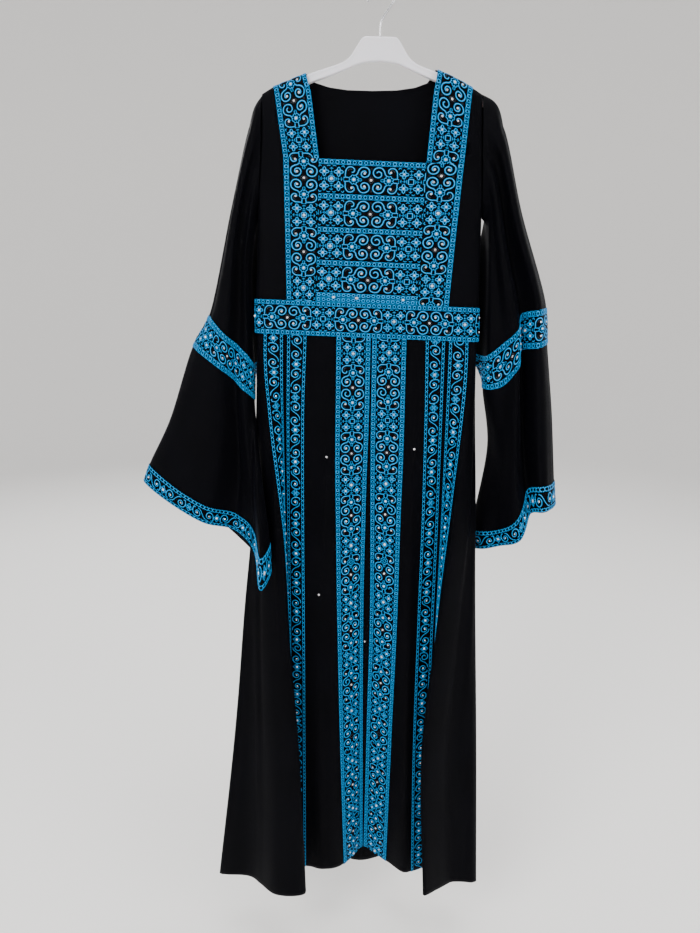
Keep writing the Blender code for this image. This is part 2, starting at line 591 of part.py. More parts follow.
# ---------------------------------------------------------------- the hanger
def make_hanger():
    """Plate and arms: one loft of rounded upright sections from arm tip to arm tip."""
    rows = [(-x, top, bottom, depth) for x, top, bottom, depth in HANGER[:0:-1]] + list(HANGER)
    sides = 10
    angles = np.arange(sides) * 2 * np.pi / sides
    bm = bmesh.new()
    previous = None
    for x, top, bottom, depth in rows:
        middle = (top + bottom) / 2
        half = (top - bottom) / 2
        ring = []
        for angle in angles:
            rise = np.sign(np.sin(angle)) * abs(np.sin(angle)) ** ROUNDNESS
            out = np.sign(np.cos(angle)) * abs(np.cos(angle)) ** ROUNDNESS
            z = middle + half * rise - HANGER_TILT * x
            ring.append(bm.verts.new((x, depth * out, z)))
        if previous is None:
            bm.faces.new(ring)
        else:
            for k in range(sides):
                bm.faces.new((previous[k], previous[(k + 1) % sides],
                              ring[(k + 1) % sides], ring[k]))
        previous = ring
    bm.faces.new(previous)
    bmesh.ops.recalc_face_normals(bm, faces=bm.faces)
    mesh = bpy.data.meshes.new("hanger_body")
    bm.to_mesh(mesh)
    bm.free()
    mesh.materials.append(plastic_material)
    parts.objects.link(bpy.data.objects.new("hanger_body", mesh))


def make_hook():
    """A bent wire hook: a straight stem that runs over into most of a circle."""
    ring = HOOK_RADIUS + HOOK_WIRE
    centre = -HOOK_RADIUS
    points = [(0.0, HOOK_FOOT), (0.0, -0.0640), (0.0010, -0.0560), (0.0055, -0.0478)]
    for degrees in range(-42, 201, 11):
        angle = np.radians(degrees)
        points.append((ring * np.cos(angle), centre + ring * np.sin(angle)))
    curve = bpy.data.curves.new("hanger_hook", "CURVE")
    curve.dimensions = "3D"
    curve.bevel_depth = HOOK_WIRE
    curve.bevel_resolution = 2
    curve.use_fill_caps = True
    line = curve.splines.new("POLY")
    line.points.add(len(points) - 1)
    for point, (x, z) in zip(line.points, points):
        point.co = (x, 0.0, z, 1.0)
    curve.materials.append(steel_material)
    parts.objects.link(bpy.data.objects.new("hanger_hook", curve))


# ---------------------------------------------------------------- the dress
def make_bodice():
    """Front with the square neck, back with the round neck, and the chest trims."""
    grid, neck_row = bodice_front_grid()
    left_outer = FRONT_SIDE
    left_inner = left_outer + FRONT_DIVISIONS[0]
    right_inner = left_inner + FRONT_DIVISIONS[1]
    right_outer = right_inner + FRONT_DIVISIONS[2]
    panel("bodice_front", grid, cut=(0, neck_row, left_inner, right_inner))
    band_row = neck_row + len(CHEST_ROWS) - 1
    trim("strap_left", grid, (2, band_row), (left_outer, left_inner))
    trim("strap_right", grid, (2, band_row), (right_inner, right_outer))
    for index in range(len(CHEST_ROWS) - 2):
        rows = (neck_row + index, neck_row + index + 1)
        trim(f"chest_row_{index + 1}", grid, rows, (left_inner, right_inner))
    trim("chest_border", grid, (band_row - 1, band_row), (left_inner, right_inner))
    back = bodice_back_grid()
    # columns of the back run from left to right too, so its faces are turned round
    panel("bodice_back", back[:, ::-1])


def make_skirt():
    """Front panel, two gores that fold forward over it, back panel and six strips."""
    wide, narrow = WIDE_TRIM, NARROW_TRIM
    clear = VALLEY_CLEAR
    marks = (("valley_l", 0.0, 0), ("valley_l", clear, 0), ("valley_l", clear + narrow, 0),
             ("middle", -wide, -0.5), ("middle", 0.0, -0.5), ("middle", 0.0, 0.5),
             ("middle", wide, 0.5), ("valley_r", -clear - narrow, 0), ("valley_r", -clear, 0),
             ("valley_r", 0.0, 0))
    front = skirt_grid(marks, (1, 2, 3, 4, 1, 4, 3, 2, 1))
    panel("skirt_front", front)
    hem = len(SKIRT_ROWS) - 1
    trim("side_strip_inner_left", front, (1, hem), (1, 3))
    trim("centre_strip_left", front, (1, hem), (6, 10))
    trim("centre_strip_right", front, (1, hem), (11, 15))
    trim("side_strip_inner_right", front, (1, hem), (18, 20))
    left = skirt_grid((("seam_l", 0.0, 0), ("side_l", 0.0, 0), ("bulge_l", 0.0, 0),
                       ("valley_l", -clear - narrow, 0), ("valley_l", -clear, 0),
                       ("valley_l", 0.0, 0)), (2, 4, 4, 2, 1))
    panel("skirt_gore_left", left, draw_in=BENT_SEAM)
    trim("side_strip_outer_left", left, (1, hem), (10, 12))
    right = skirt_grid((("valley_r", 0.0, 0), ("valley_r", clear, 0),
                        ("valley_r", clear + narrow, 0), ("bulge_r", 0.0, 0),
                        ("side_r", 0.0, 0), ("seam_r", 0.0, 0)), (1, 2, 4, 4, 2))
    panel("skirt_gore_right", right, draw_in=BENT_SEAM)
    trim("side_strip_outer_right", right, (1, hem), (1, 3))
    back = skirt_grid((("seam_r", 0.0, 0), ("end", 0.0, 0)), (19,))
    panel("skirt_back", back, draw_in=BENT_SEAM)


def make_waistband():
    """A band all round the waist, over the seam of bodice and skirt."""
    columns = BAND_COLUMNS
    grid = []
    for z in (BAND_TOP, WAIST_Z, BAND_BOTTOM):
        half, front, back, _ = between(BODICE, z)
        row = []
        for k in range(columns + 1):
            angle = np.pi + 2 * np.pi * k / columns
            x = WAIST_X + half * np.sign(np.cos(angle)) * abs(np.cos(angle)) ** (2 / FLATNESS)
            depth = front if np.sin(angle) < 0 else back
            y = depth * np.sign(np.sin(angle)) * abs(np.sin(angle)) ** (2 / FLATNESS)
            row.append((x, y, z))
        grid.append(row)
    trim("waist_band", tilted(grid), (0, 2), (0, columns), BAND_GAP, closed=True)


def make_sleeves():
    """Upper sleeve, bell flare, the wide band over their seam and the hem trim."""
    for side, folds, cap_round in SLEEVES:
        upper = sleeve_grid(folds, cap_round, UPPER_RINGS)
        flare = sleeve_grid(folds, cap_round, FLARE_RINGS)
        panel(f"sleeve_upper_{side}", upper, closed=True, draw_in=BENT_SEAM)
        panel(f"sleeve_flare_{side}", flare, closed=True, draw_in=BENT_SEAM)
        band = sleeve_grid(folds, cap_round, BAND_RINGS)
        last = band.shape[1] - 1
        trim(f"sleeve_band_{side}", band, (0, len(BAND_RINGS) - 1), (0, last), closed=True)
        hem = sleeve_grid(folds, cap_round, HEM_RINGS)
        trim(f"sleeve_hem_{side}", hem, (0, len(HEM_RINGS) - 1), (0, last), closed=True)


# ---------------------------------------------------------------- build
for old in list(bpy.data.objects):
    bpy.data.objects.remove(old, do_unlink=True)
parts = bpy.data.collections.new("thobe_dress_on_hanger")
bpy.context.scene.collection.children.link(parts)
cloth_material = finish("black_crepe", BLACK, 0.75)
trim_material = finish("blue_embroidery", BLUE, 0.5)
plastic_material = finish("white_plastic", WHITE, 0.3)
steel_material = finish("hook_steel", STEEL, 0.25, 1.0)
make_hanger()
make_hook()
make_bodice()
make_skirt()
make_waistband()
make_sleeves()
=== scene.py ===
"""Long black dress with wide embroidered trims on a white hanger: its cloth, thread and stage.

Sizes are in metres.  The origin is the inner top of the hanger's hook, +Z is up and the
front of the dress faces -Y.
"""

import math

import bmesh
import bpy
import numpy as np
from bpy.props import FloatProperty, FloatVectorProperty, PointerProperty
from mathutils import Matrix, Vector


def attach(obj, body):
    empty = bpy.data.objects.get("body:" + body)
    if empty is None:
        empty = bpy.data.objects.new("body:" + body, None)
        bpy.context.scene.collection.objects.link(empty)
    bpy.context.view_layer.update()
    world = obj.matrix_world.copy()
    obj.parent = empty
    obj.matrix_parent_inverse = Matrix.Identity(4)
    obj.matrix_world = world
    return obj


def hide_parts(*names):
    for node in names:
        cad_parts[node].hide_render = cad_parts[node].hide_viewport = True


bl_info = {
    "name": "Embroidered dress on a hanger",
    "version": (1, 0, 0),
    "blender": (4, 5, 0),
    "location": "3D View > Sidebar > Dress",
    "description": "Builds the dress's cloth, embroidered trims, hanger and stage",
    "category": "Object",
}

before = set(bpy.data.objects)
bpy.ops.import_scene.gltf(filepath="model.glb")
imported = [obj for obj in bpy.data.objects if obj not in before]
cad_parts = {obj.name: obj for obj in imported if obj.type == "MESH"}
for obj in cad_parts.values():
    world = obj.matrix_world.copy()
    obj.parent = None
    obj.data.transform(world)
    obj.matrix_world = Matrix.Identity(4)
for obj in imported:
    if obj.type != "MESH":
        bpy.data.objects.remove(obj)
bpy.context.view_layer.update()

# ---------------------------------------------------------------- sizes of the form
WALL = 0.0009             # cloth as it shows
TRIM_LIFT = 0.0010        # outer face of a trim's ground above the panel
TRIM_WALL = 0.0006
THREAD_RISE = 0.00055     # satin thread above the trim's ground

DRESS_X = -0.012
WAIST_Z = -0.520
NECK_Z = -0.264
TILT = 0.035
TILT_FROM = -0.150
TILT_FULL = -0.250
WAIST_X = -0.0165
WAIST_HALF = 0.1905
WAIST_FRONT = 0.030
WAIST_BACK = 0.020
FLATNESS = 7.0
BAND_TOP = -0.492
BAND_BOTTOM = -0.5485
WIDE_TRIM = 0.058
NARROW_TRIM = 0.034
VALLEY_CLEAR = 0.0030
SIDE_SHARES = (0.0, 0.15, 0.3, 0.45, 0.6, 0.72, 0.82, 0.9, 0.95)
CHEST_Z = -0.300          # height at which the bodice's middle is read
WIDTH_TOP_Z = -0.165      # the bodice's width is not read above this height
RIDGE_RADIUS = 0.013      # round edge along the shoulders and the neck
RIDGE_LEAST = 0.03        # share of the depth that is left on that edge

WIDE_REPEAT = 117.0       # charts, in millimetres
NARROW_REPEAT = 116.4
CHAIN_LINKS = 14          # rings, squares or twists of a border in one repeat
CRYSTAL_SIDES = 8
CRYSTAL_TOP = 0.5         # radius of a crystal's flat top, as a share of its own
CRYSTAL_DEPTH = 0.62      # height of a crystal, as a share of its radius
CRYSTAL_SKIP = 11         # one place in this many is left without its crystal
CRYSTAL_SKIPPED = 3

#            x       z
SHOULDER = ((-0.190, -0.1625), (-0.171, -0.1510), (-0.150, -0.1435), (-0.118, -0.1310),
            (0.090, -0.1240), (0.120, -0.1365), (0.148, -0.1500), (0.166, -0.1600))
BACK_NECK = ((-0.106, -0.1310), (-0.095, -0.1405), (-0.070, -0.1480), (-0.040, -0.1520),
             (0.0, -0.1530), (0.040, -0.1520), (0.070, -0.1480), (0.090, -0.1410),
             (0.102, -0.1247))
#           z      half    front   back    edge
BODICE = ((-0.160, 0.1780, 0.0135, 0.0120, 0.0060),
          (-0.190, 0.1780, 0.0138, 0.0124, 0.0130),
          (-0.230, 0.1795, 0.0142, 0.0130, 0.0140),
          (-0.270, 0.1815, 0.0150, 0.0135, 0.0140),
          (-0.315, 0.1840, 0.0170, 0.0140, 0.0120),
          (-0.357, 0.1865, 0.0195, 0.0150, 0.0000),
          (-0.430, 0.1885, 0.0240, 0.0170, 0.0000),
          (-0.520, 0.1905, 0.0300, 0.0200, 0.0000))
#           z       left outer  left inner  right inner  right outer
STRAPS = ((-0.125, -0.1810, -0.1210, 0.0930, 0.1560),
          (-0.160, -0.1690, -0.1110, 0.0870, 0.1480),
          (-0.264, -0.1560, -0.0980, 0.0780, 0.1390),
          (-0.380, -0.1540, -0.1000, 0.0730, 0.1290),
          (-0.520, -0.1520, -0.1050, 0.0660, 0.1180))
CHEST_ROWS = (-0.264, -0.3175, -0.3705, -0.4235, -0.4765, -0.4915)

SKIRT_DROPS = (0.0253, 0.144, 0.289, 0.493, 0.735, 1.0)
SKIRT_FOLDS = (
    ("seam_l", (-0.2040, -0.205, -0.212, -0.232, -0.254, -0.286),
               (0.010, 0.012, 0.016, 0.024, 0.030), -1.648),
    ("side_l", (-0.2070, -0.210, -0.218, -0.242, -0.271, -0.309),
               (-0.005, -0.006, -0.008, -0.012, -0.015), -1.640),
    ("groove_l", (-0.2040, -0.206, -0.214, -0.226, -0.236, -0.243),
                 (-0.018, -0.018, -0.020, -0.022, -0.028), -1.636),
    ("bulge_l", (-0.1980, -0.193, -0.192, -0.192, -0.188, -0.186),
                (-0.031, -0.038, -0.046, -0.060, -0.074), -1.636),
    ("ridge_l", (-0.1900, -0.177, -0.167, -0.157, -0.138, -0.128),
                (-0.034, -0.045, -0.054, -0.066, -0.070), -1.636),
    ("wall_l", (-0.1740, -0.168, -0.163, -0.158, -0.148, -0.141),
               (-0.024, -0.029, -0.034, -0.036, -0.036), -1.636),
    ("valley_l", (-0.1560, -0.160, -0.162, -0.163, -0.165, -0.167),
                 (-0.016, -0.012, -0.008, -0.004, 0.000), -1.636),
    ("inner_l", (-0.1220, -0.124, -0.125, -0.126, -0.126, -0.124),
                (-0.025, -0.020, -0.015, -0.008, 0.000), -1.636),
    ("black_l", (-0.0970, -0.097, -0.098, -0.099, -0.099, -0.098),
                (-0.029, -0.026, -0.020, -0.014, -0.008), -1.636),
    ("front_l", (-0.0690, -0.070, -0.071, -0.072, -0.069, -0.063),
                (-0.030, -0.028, -0.022, -0.012, 0.000), -1.636),
    ("slope_l", (-0.0400, -0.041, -0.043, -0.044, -0.041, -0.037),
                (-0.029, -0.020, -0.008, 0.006, 0.024), -1.634),
    ("middle", (-0.0090, -0.010, -0.011, -0.011, -0.012, -0.012),
               (-0.027, -0.008, 0.011, 0.028, 0.048), -1.626),
    ("slope_r", (0.0200, 0.020, 0.021, 0.023, 0.021, 0.016),
                (-0.029, -0.019, -0.007, 0.010, 0.031), -1.632),
    ("front_r", (0.0480, 0.049, 0.049, 0.051, 0.049, 0.043),
                (-0.030, -0.028, -0.020, -0.008, 0.010), -1.636),
    ("black_r", (0.0690, 0.068, 0.067, 0.068, 0.069, 0.071),
                (-0.029, -0.027, -0.022, -0.018, -0.015), -1.636),
    ("inner_r", (0.0860, 0.087, 0.086, 0.084, 0.084, 0.090),
                (-0.025, -0.021, -0.016, -0.013, -0.010), -1.636),
    ("valley_r", (0.1200, 0.121, 0.121, 0.119, 0.117, 0.120),
                 (-0.018, -0.012, -0.008, -0.004, 0.000), -1.636),
    ("wall_r", (0.1370, 0.137, 0.132, 0.120, 0.107, 0.112),
               (-0.028, -0.032, -0.036, -0.038, -0.038), -1.636),
    ("ridge_r", (0.1550, 0.152, 0.142, 0.116, 0.094, 0.106),
                (-0.038, -0.050, -0.060, -0.070, -0.074), -1.636),
    ("bulge_r", (0.1640, 0.164, 0.160, 0.143, 0.128, 0.136),
                (-0.034, -0.042, -0.051, -0.060, -0.058), -1.636),
    ("groove_r", (0.1700, 0.172, 0.174, 0.170, 0.160, 0.168),
                 (-0.020, -0.026, -0.032, -0.036, -0.040), -1.636),
    ("side_r", (0.1740, 0.177, 0.184, 0.194, 0.206, 0.218),
               (-0.006, -0.010, -0.016, -0.024, -0.032), -1.640),
    ("seam_r", (0.1710, 0.173, 0.178, 0.188, 0.198, 0.206),
               (0.010, 0.011, 0.014, 0.018, 0.020), -1.648),
    ("back_1", (0.1450, 0.146, 0.150, 0.157, 0.166, 0.176),
               (0.024, 0.034, 0.046, 0.060, 0.072), -1.662),
    ("back_2", (0.1000, 0.100, 0.103, 0.108, 0.114, 0.120),
               (0.022, 0.027, 0.034, 0.042, 0.050), -1.672),
    ("back_3", (0.0480, 0.048, 0.050, 0.053, 0.057, 0.062),
               (0.029, 0.042, 0.056, 0.074, 0.090), -1.680),
    ("back_4", (-0.0140, -0.014, -0.015, -0.016, -0.017, -0.018),
               (0.024, 0.033, 0.044, 0.056, 0.068), -1.680),
    ("back_5", (-0.0800, -0.080, -0.082, -0.086, -0.092, -0.098),
               (0.030, 0.043, 0.058, 0.076, 0.092), -1.680),
    ("back_6", (-0.1310, -0.132, -0.136, -0.142, -0.150, -0.160),
               (0.022, 0.027, 0.034, 0.042, 0.050), -1.672),
    ("back_7", (-0.1760, -0.177, -0.182, -0.194, -0.210, -0.232),
               (0.022, 0.032, 0.044, 0.058, 0.070), -1.662),
)
MIDDLE_GAPS = (0.003, 0.004, 0.009, 0.014, 0.009, 0.003)

# Smaller creases of the skirt: the fold they start from, how far along the cloth from it
# at their top and bottom, half width, height, and the shares of the drop they run over.
SKIRT_CREASES = (
    ("bulge_l", 0.010, 0.022, 0.0050, 0.0022, 0.03, 0.55),
    ("bulge_l", -0.020, -0.030, 0.0070, -0.0026, 0.10, 0.90),
    ("groove_l", -0.010, -0.022, 0.0060, 0.0025, 0.05, 0.70),
    ("side_l", 0.006, 0.014, 0.0050, -0.0020, 0.30, 1.10),
    ("groove_l", 0.012, 0.026, 0.0055, 0.0022, 0.42, 1.10),
    ("black_l", 0.004, 0.010, 0.0080, 0.0018, 0.02, 0.60),
    ("black_l", 0.012, 0.004, 0.0090, -0.0020, 0.30, 1.10),
    ("black_r", -0.002, 0.003, 0.0070, 0.0016, 0.05, 0.70),
    ("bulge_r", 0.008, 0.018, 0.0055, 0.0022, 0.04, 0.50),
    ("bulge_r", 0.020, 0.036, 0.0070, -0.0026, 0.25, 1.10),
    ("groove_r", 0.012, 0.020, 0.0060, 0.0024, 0.12, 0.80),
    ("side_r", -0.010, -0.016, 0.0060, 0.0022, 0.45, 1.10),
    ("seam_r", 0.030, 0.036, 0.0080, 0.0024, 0.05, 0.70),
    ("back_2", -0.010, 0.006, 0.0080, 0.0022, 0.03, 0.60),
    ("back_3", 0.022, 0.030, 0.0080, 0.0022, 0.10, 0.95),
    ("back_4", 0.026, 0.020, 0.0090, -0.0022, 0.05, 0.75),
    ("back_6", 0.012, 0.020, 0.0080, 0.0024, 0.04, 0.80),
    ("back_7", 0.020, 0.026, 0.0070, -0.0020, 0.20, 1.10),
)

LEFT_SLEEVE = (
    ("outer", (-0.190, 0.000, -0.164), (-0.212, 0.000, -0.210), (-0.245, -0.002, -0.335),
              (-0.289, -0.004, -0.513), (-0.319, -0.004, -0.566), (-0.366, -0.006, -0.697),
              (-0.405, -0.008, -0.775), (-0.417, -0.008, -0.806)),
    ("front_1", (-0.190, -0.012, -0.174), (-0.209, -0.015, -0.218), (-0.241, -0.018, -0.345),
                (-0.281, -0.024, -0.519), (-0.308, -0.026, -0.573), (-0.350, -0.030, -0.707),
                (-0.385, -0.032, -0.787), (-0.396, -0.032, -0.818)),
    ("front_2", (-0.192, -0.018, -0.210), (-0.206, -0.026, -0.250), (-0.236, -0.032, -0.372),
                (-0.257, -0.040, -0.544), (-0.266, -0.042, -0.603), (-0.276, -0.048, -0.745),
                (-0.300, -0.048, -0.842), (-0.306, -0.048, -0.873)),
    ("front_3", (-0.193, -0.018, -0.262), (-0.204, -0.018, -0.282), (-0.228, -0.018, -0.402),
                (-0.238, -0.020, -0.563), (-0.245, -0.020, -0.625), (-0.243, -0.016, -0.765),
                (-0.252, -0.020, -0.863), (-0.258, -0.020, -0.894)),
    ("front_4", (-0.194, -0.017, -0.298), (-0.203, -0.020, -0.314), (-0.221, -0.026, -0.432),
                (-0.224, -0.028, -0.576), (-0.229, -0.030, -0.640), (-0.226, -0.034, -0.785),
                (-0.228, -0.034, -0.875), (-0.233, -0.034, -0.907)),
    ("front_5", (-0.196, -0.010, -0.330), (-0.203, -0.012, -0.344), (-0.218, -0.016, -0.452),
                (-0.216, -0.018, -0.590), (-0.218, -0.020, -0.652), (-0.217, -0.040, -0.800),
                (-0.214, -0.044, -0.893), (-0.215, -0.044, -0.932)),
    ("inner", (-0.198, 0.000, -0.357), (-0.204, 0.000, -0.368), (-0.214, -0.004, -0.465),
              (-0.213, -0.006, -0.596), (-0.214, -0.010, -0.658), (-0.206, -0.064, -0.812),
              (-0.199, -0.086, -0.925), (-0.200, -0.092, -0.985)),
    ("back_5", (-0.197, 0.006, -0.342), (-0.204, 0.008, -0.354), (-0.2165, 0.009, -0.458),
               (-0.2150, 0.010, -0.595), (-0.2145, 0.002, -0.657), (-0.197, -0.050, -0.805),
               (-0.186, -0.060, -0.905), (-0.185, -0.062, -0.958)),
    ("back_4", (-0.195, 0.012, -0.318), (-0.203, 0.014, -0.332), (-0.200, 0.0205, -0.440),
               (-0.2110, 0.0180, -0.592), (-0.2180, 0.012, -0.652), (-0.206, -0.036, -0.800),
               (-0.200, -0.045, -0.903), (-0.199, -0.047, -0.948)),
    ("back_3", (-0.193, 0.016, -0.275), (-0.204, 0.018, -0.295), (-0.227, 0.016, -0.410),
               (-0.232, 0.016, -0.572), (-0.238, 0.016, -0.632), (-0.228, -0.022, -0.785),
               (-0.229, -0.026, -0.885), (-0.233, -0.026, -0.920)),
    ("back_2", (-0.192, 0.018, -0.210), (-0.206, 0.018, -0.250), (-0.236, 0.016, -0.372),
               (-0.258, 0.018, -0.545), (-0.269, 0.018, -0.605), (-0.275, 0.012, -0.745),
               (-0.288, 0.008, -0.850), (-0.293, 0.008, -0.881)),
    ("back_1", (-0.190, 0.012, -0.174), (-0.209, 0.014, -0.218), (-0.241, 0.012, -0.345),
               (-0.281, 0.014, -0.520), (-0.307, 0.014, -0.575), (-0.348, 0.016, -0.709),
               (-0.380, 0.016, -0.792), (-0.390, 0.016, -0.823)),
)
RIGHT_SLEEVE = (
    ("outer", (0.167, 0.000, -0.1605), (0.203, 0.000, -0.208), (0.240, -0.002, -0.340),
              (0.291, -0.004, -0.497), (0.297, -0.004, -0.557), (0.313, -0.006, -0.680),
              (0.325, -0.008, -0.801), (0.330, -0.008, -0.846)),
    ("front_1", (0.168, -0.012, -0.172), (0.199, -0.015, -0.216), (0.236, -0.020, -0.348),
                (0.283, -0.026, -0.498), (0.289, -0.028, -0.559), (0.303, -0.034, -0.682),
                (0.313, -0.036, -0.801), (0.317, -0.036, -0.847)),
    ("front_2", (0.170, -0.018, -0.205), (0.194, -0.026, -0.245), (0.228, -0.034, -0.370),
                (0.270, -0.040, -0.501), (0.274, -0.042, -0.564), (0.280, -0.050, -0.690),
                (0.291, -0.052, -0.802), (0.298, -0.052, -0.850)),
    ("front_3", (0.171, -0.017, -0.245), (0.189, -0.016, -0.268), (0.219, -0.012, -0.395),
                (0.247, -0.014, -0.508), (0.250, -0.016, -0.570), (0.262, -0.016, -0.715),
                (0.274, -0.022, -0.815), (0.283, -0.022, -0.862)),
    ("front_4", (0.172, -0.018, -0.270), (0.186, -0.026, -0.295), (0.210, -0.036, -0.415),
                (0.236, -0.042, -0.535), (0.241, -0.044, -0.598), (0.243, -0.046, -0.765),
                (0.252, -0.044, -0.868), (0.262, -0.044, -0.905)),
    ("front_5", (0.174, -0.016, -0.300), (0.183, -0.020, -0.320), (0.200, -0.022, -0.440),
                (0.213, -0.028, -0.560), (0.220, -0.030, -0.629), (0.226, -0.022, -0.775),
                (0.226, -0.010, -0.896), (0.232, -0.008, -0.928)),
    ("front_6", (0.176, -0.010, -0.330), (0.182, -0.012, -0.345), (0.190, -0.014, -0.460),
                (0.194, -0.020, -0.577), (0.199, -0.020, -0.637), (0.212, -0.002, -0.755),
                (0.200, 0.008, -0.904), (0.204, 0.010, -0.940)),
    ("inner", (0.178, 0.000, -0.350), (0.181, 0.000, -0.362), (0.1865, 0.003, -0.470),
              (0.1870, 0.004, -0.580), (0.189, -0.002, -0.636), (0.205, 0.012, -0.745),
              (0.186, 0.032, -0.906), (0.189, 0.034, -0.944)),
    ("back_4", (0.176, 0.010, -0.330), (0.182, 0.012, -0.345), (0.170, 0.0215, -0.450),
               (0.1735, 0.0255, -0.572), (0.198, 0.014, -0.637), (0.213, 0.026, -0.755),
               (0.202, 0.046, -0.902), (0.206, 0.048, -0.938)),
    ("back_3", (0.173, 0.016, -0.285), (0.186, 0.018, -0.305), (0.208, 0.018, -0.420),
               (0.225, 0.018, -0.548), (0.232, 0.020, -0.610), (0.240, 0.034, -0.755),
               (0.240, 0.046, -0.880), (0.246, 0.048, -0.912)),
    ("back_2", (0.170, 0.018, -0.205), (0.194, 0.018, -0.245), (0.228, 0.018, -0.370),
               (0.262, 0.018, -0.508), (0.267, 0.020, -0.570), (0.276, 0.030, -0.705),
               (0.283, 0.034, -0.825), (0.288, 0.034, -0.868)),
    ("back_1", (0.168, 0.012, -0.172), (0.199, 0.014, -0.216), (0.236, 0.012, -0.348),
               (0.282, 0.014, -0.500), (0.288, 0.016, -0.561), (0.303, 0.022, -0.685),
               (0.314, 0.024, -0.805), (0.318, 0.024, -0.850)),
)
# side, folds, swelling of the cap
SLEEVES = (("left", LEFT_SLEEVE, 0.004), ("right", RIGHT_SLEEVE, 0.009))
CAP_REACH = 0.05
# Smaller creases of the sleeves: place round the sleeve in folds at their top and bottom,
# half width in folds, height, and the rings they run over.
SLEEVE_CREASES = {
    "left": ((1.5, 1.3, 0.35, 0.0030, 0.2, 2.9), (2.5, 2.7, 0.30, -0.0025, 0.8, 3.0),
             (0.5, 0.7, 0.30, -0.0022, 1.4, 4.6), (1.6, 1.4, 0.28, 0.0026, 4.0, 7.2),
             (3.5, 3.4, 0.30, 0.0030, 4.0, 6.6), (2.4, 2.6, 0.32, -0.0030, 4.6, 7.2),
             (9.5, 9.2, 0.40, 0.0030, 0.4, 3.0), (10.4, 10.6, 0.35, -0.0028, 3.8, 7.2),
             (8.6, 8.3, 0.35, 0.0026, 4.0, 7.2)),
    "right": ((1.4, 1.6, 0.30, 0.0026, 0.3, 3.0), (2.6, 2.4, 0.30, -0.0028, 0.6, 3.2),
              (4.5, 4.4, 0.30, 0.0026, 0.9, 2.9), (0.6, 0.5, 0.28, -0.0024, 3.6, 7.2),
              (1.5, 1.7, 0.28, 0.0026, 4.1, 7.2), (3.6, 3.4, 0.30, 0.0024, 4.2, 7.2),
              (9.4, 9.6, 0.40, 0.0028, 0.4, 3.4), (10.5, 10.2, 0.35, -0.0026, 3.8, 7.2),
              (8.7, 8.4, 0.35, 0.0026, 4.0, 7.2)),
}

#            x      top      bottom   half depth
HANGER = ((0.000, -0.0770, -0.1130, 0.0045),
          (0.024, -0.0770, -0.1150, 0.0045),
          (0.031, -0.0820, -0.1170, 0.0045),
          (0.037, -0.0910, -0.1190, 0.0045),
          (0.048, -0.1070, -0.1235, 0.0050),
          (0.062, -0.1165, -0.1295, 0.0060),
          (0.085, -0.1245, -0.1385, 0.0065),
          (0.111, -0.1333, -0.1475, 0.0065),
          (0.120, -0.1378, -0.1520, 0.0065),
          (0.148, -0.1517, -0.1650, 0.0065),
          (0.166, -0.1622, -0.1745, 0.0060),
          (0.176, -0.1692, -0.1780, 0.0040))
HANGER_TILT = 0.02
HOOK_RADIUS = 0.0193
HOOK_WIRE = 0.0017
HOOK_FOOT = -0.0765

# Stones sewn singly on the plain cloth of the skirt's front: x, z.
LOOSE_STONES = ((-0.0860, -0.7565), (0.0689, -0.7420),
                (-0.1011, -1.0212), (-0.0137, -1.1337))


# ---------------------------------------------------------------- settings
class DressSizes(bpy.types.PropertyGroup):
    """Sizes of the cloth and thread that can be changed."""

    wall: FloatProperty(name="Cloth", description="Thickness of the black cloth",
                        default=WALL, min=0.0003, max=0.002, precision=5, unit="LENGTH")
    thread_rise: FloatProperty(name="Thread", description="Height of the satin thread",
                               default=THREAD_RISE, min=0.0002, max=0.001, precision=5,
                               unit="LENGTH")
    weave: FloatProperty(name="Weave", description="Pitch of the crepe's grain",
                         default=0.0011, min=0.0003, max=0.004, precision=5, unit="LENGTH")
    stitch: FloatProperty(name="Stitch", description="Pitch of the satin stitches",
                          default=0.0007, min=0.0002, max=0.003, precision=5, unit="LENGTH")
    stone: FloatProperty(name="Stone", description="Radius of a crystal",
                         default=0.0019, min=0.0005, max=0.003, precision=5, unit="LENGTH")


class DressColours(bpy.types.PropertyGroup):
    """Colours of the cloth, thread, stones and hanger."""

    cloth: FloatVectorProperty(name="Crepe", description="Black cloth", subtype="COLOR", size=3,
                               default=(0.0006, 0.0006, 0.0013), min=0, max=1)
    thread: FloatVectorProperty(name="Thread", description="Blue satin thread", subtype="COLOR",
                                size=3, default=(0.0, 0.300, 0.680), min=0, max=1)
    # painted shade: the blue thread's colour in the grooves between stitches
    thread_groove_shade: FloatVectorProperty(name="Thread shade", description="Thread between stitches",
                                     subtype="COLOR", size=3, default=(0.0, 0.120, 0.330),
                                     min=0, max=1)
    grey: FloatVectorProperty(name="Grey thread", description="Fine grey accents",
                              subtype="COLOR", size=3, default=(0.035, 0.038, 0.050),
                              min=0, max=1)
    stone: FloatVectorProperty(name="Crystal", description="Cut crystals", subtype="COLOR",
                               size=3, default=(1.0, 0.96, 0.98), min=0, max=1)
    plastic: FloatVectorProperty(name="Hanger", description="White plastic", subtype="COLOR",
                                 size=3, default=(0.74, 0.73, 0.78), min=0, max=1)
    steel: FloatVectorProperty(name="Hook", description="Plated wire", subtype="COLOR", size=3,
                               default=(0.60, 0.60, 0.62), min=0, max=1)
    floor: FloatVectorProperty(name="Floor", description="Pale studio floor", subtype="COLOR",
                               size=3, default=(0.97, 0.955, 0.93), min=0, max=1)


# ---------------------------------------------------------------- curves and tables
def between(table, at):
    """Columns of a table read at a value of its first column, in straight lines."""
    rows = sorted(table)
    keys = [row[0] for row in rows]
    return [float(np.interp(at, keys, [row[c] for row in rows])) for c in range(1, len(rows[0]))]


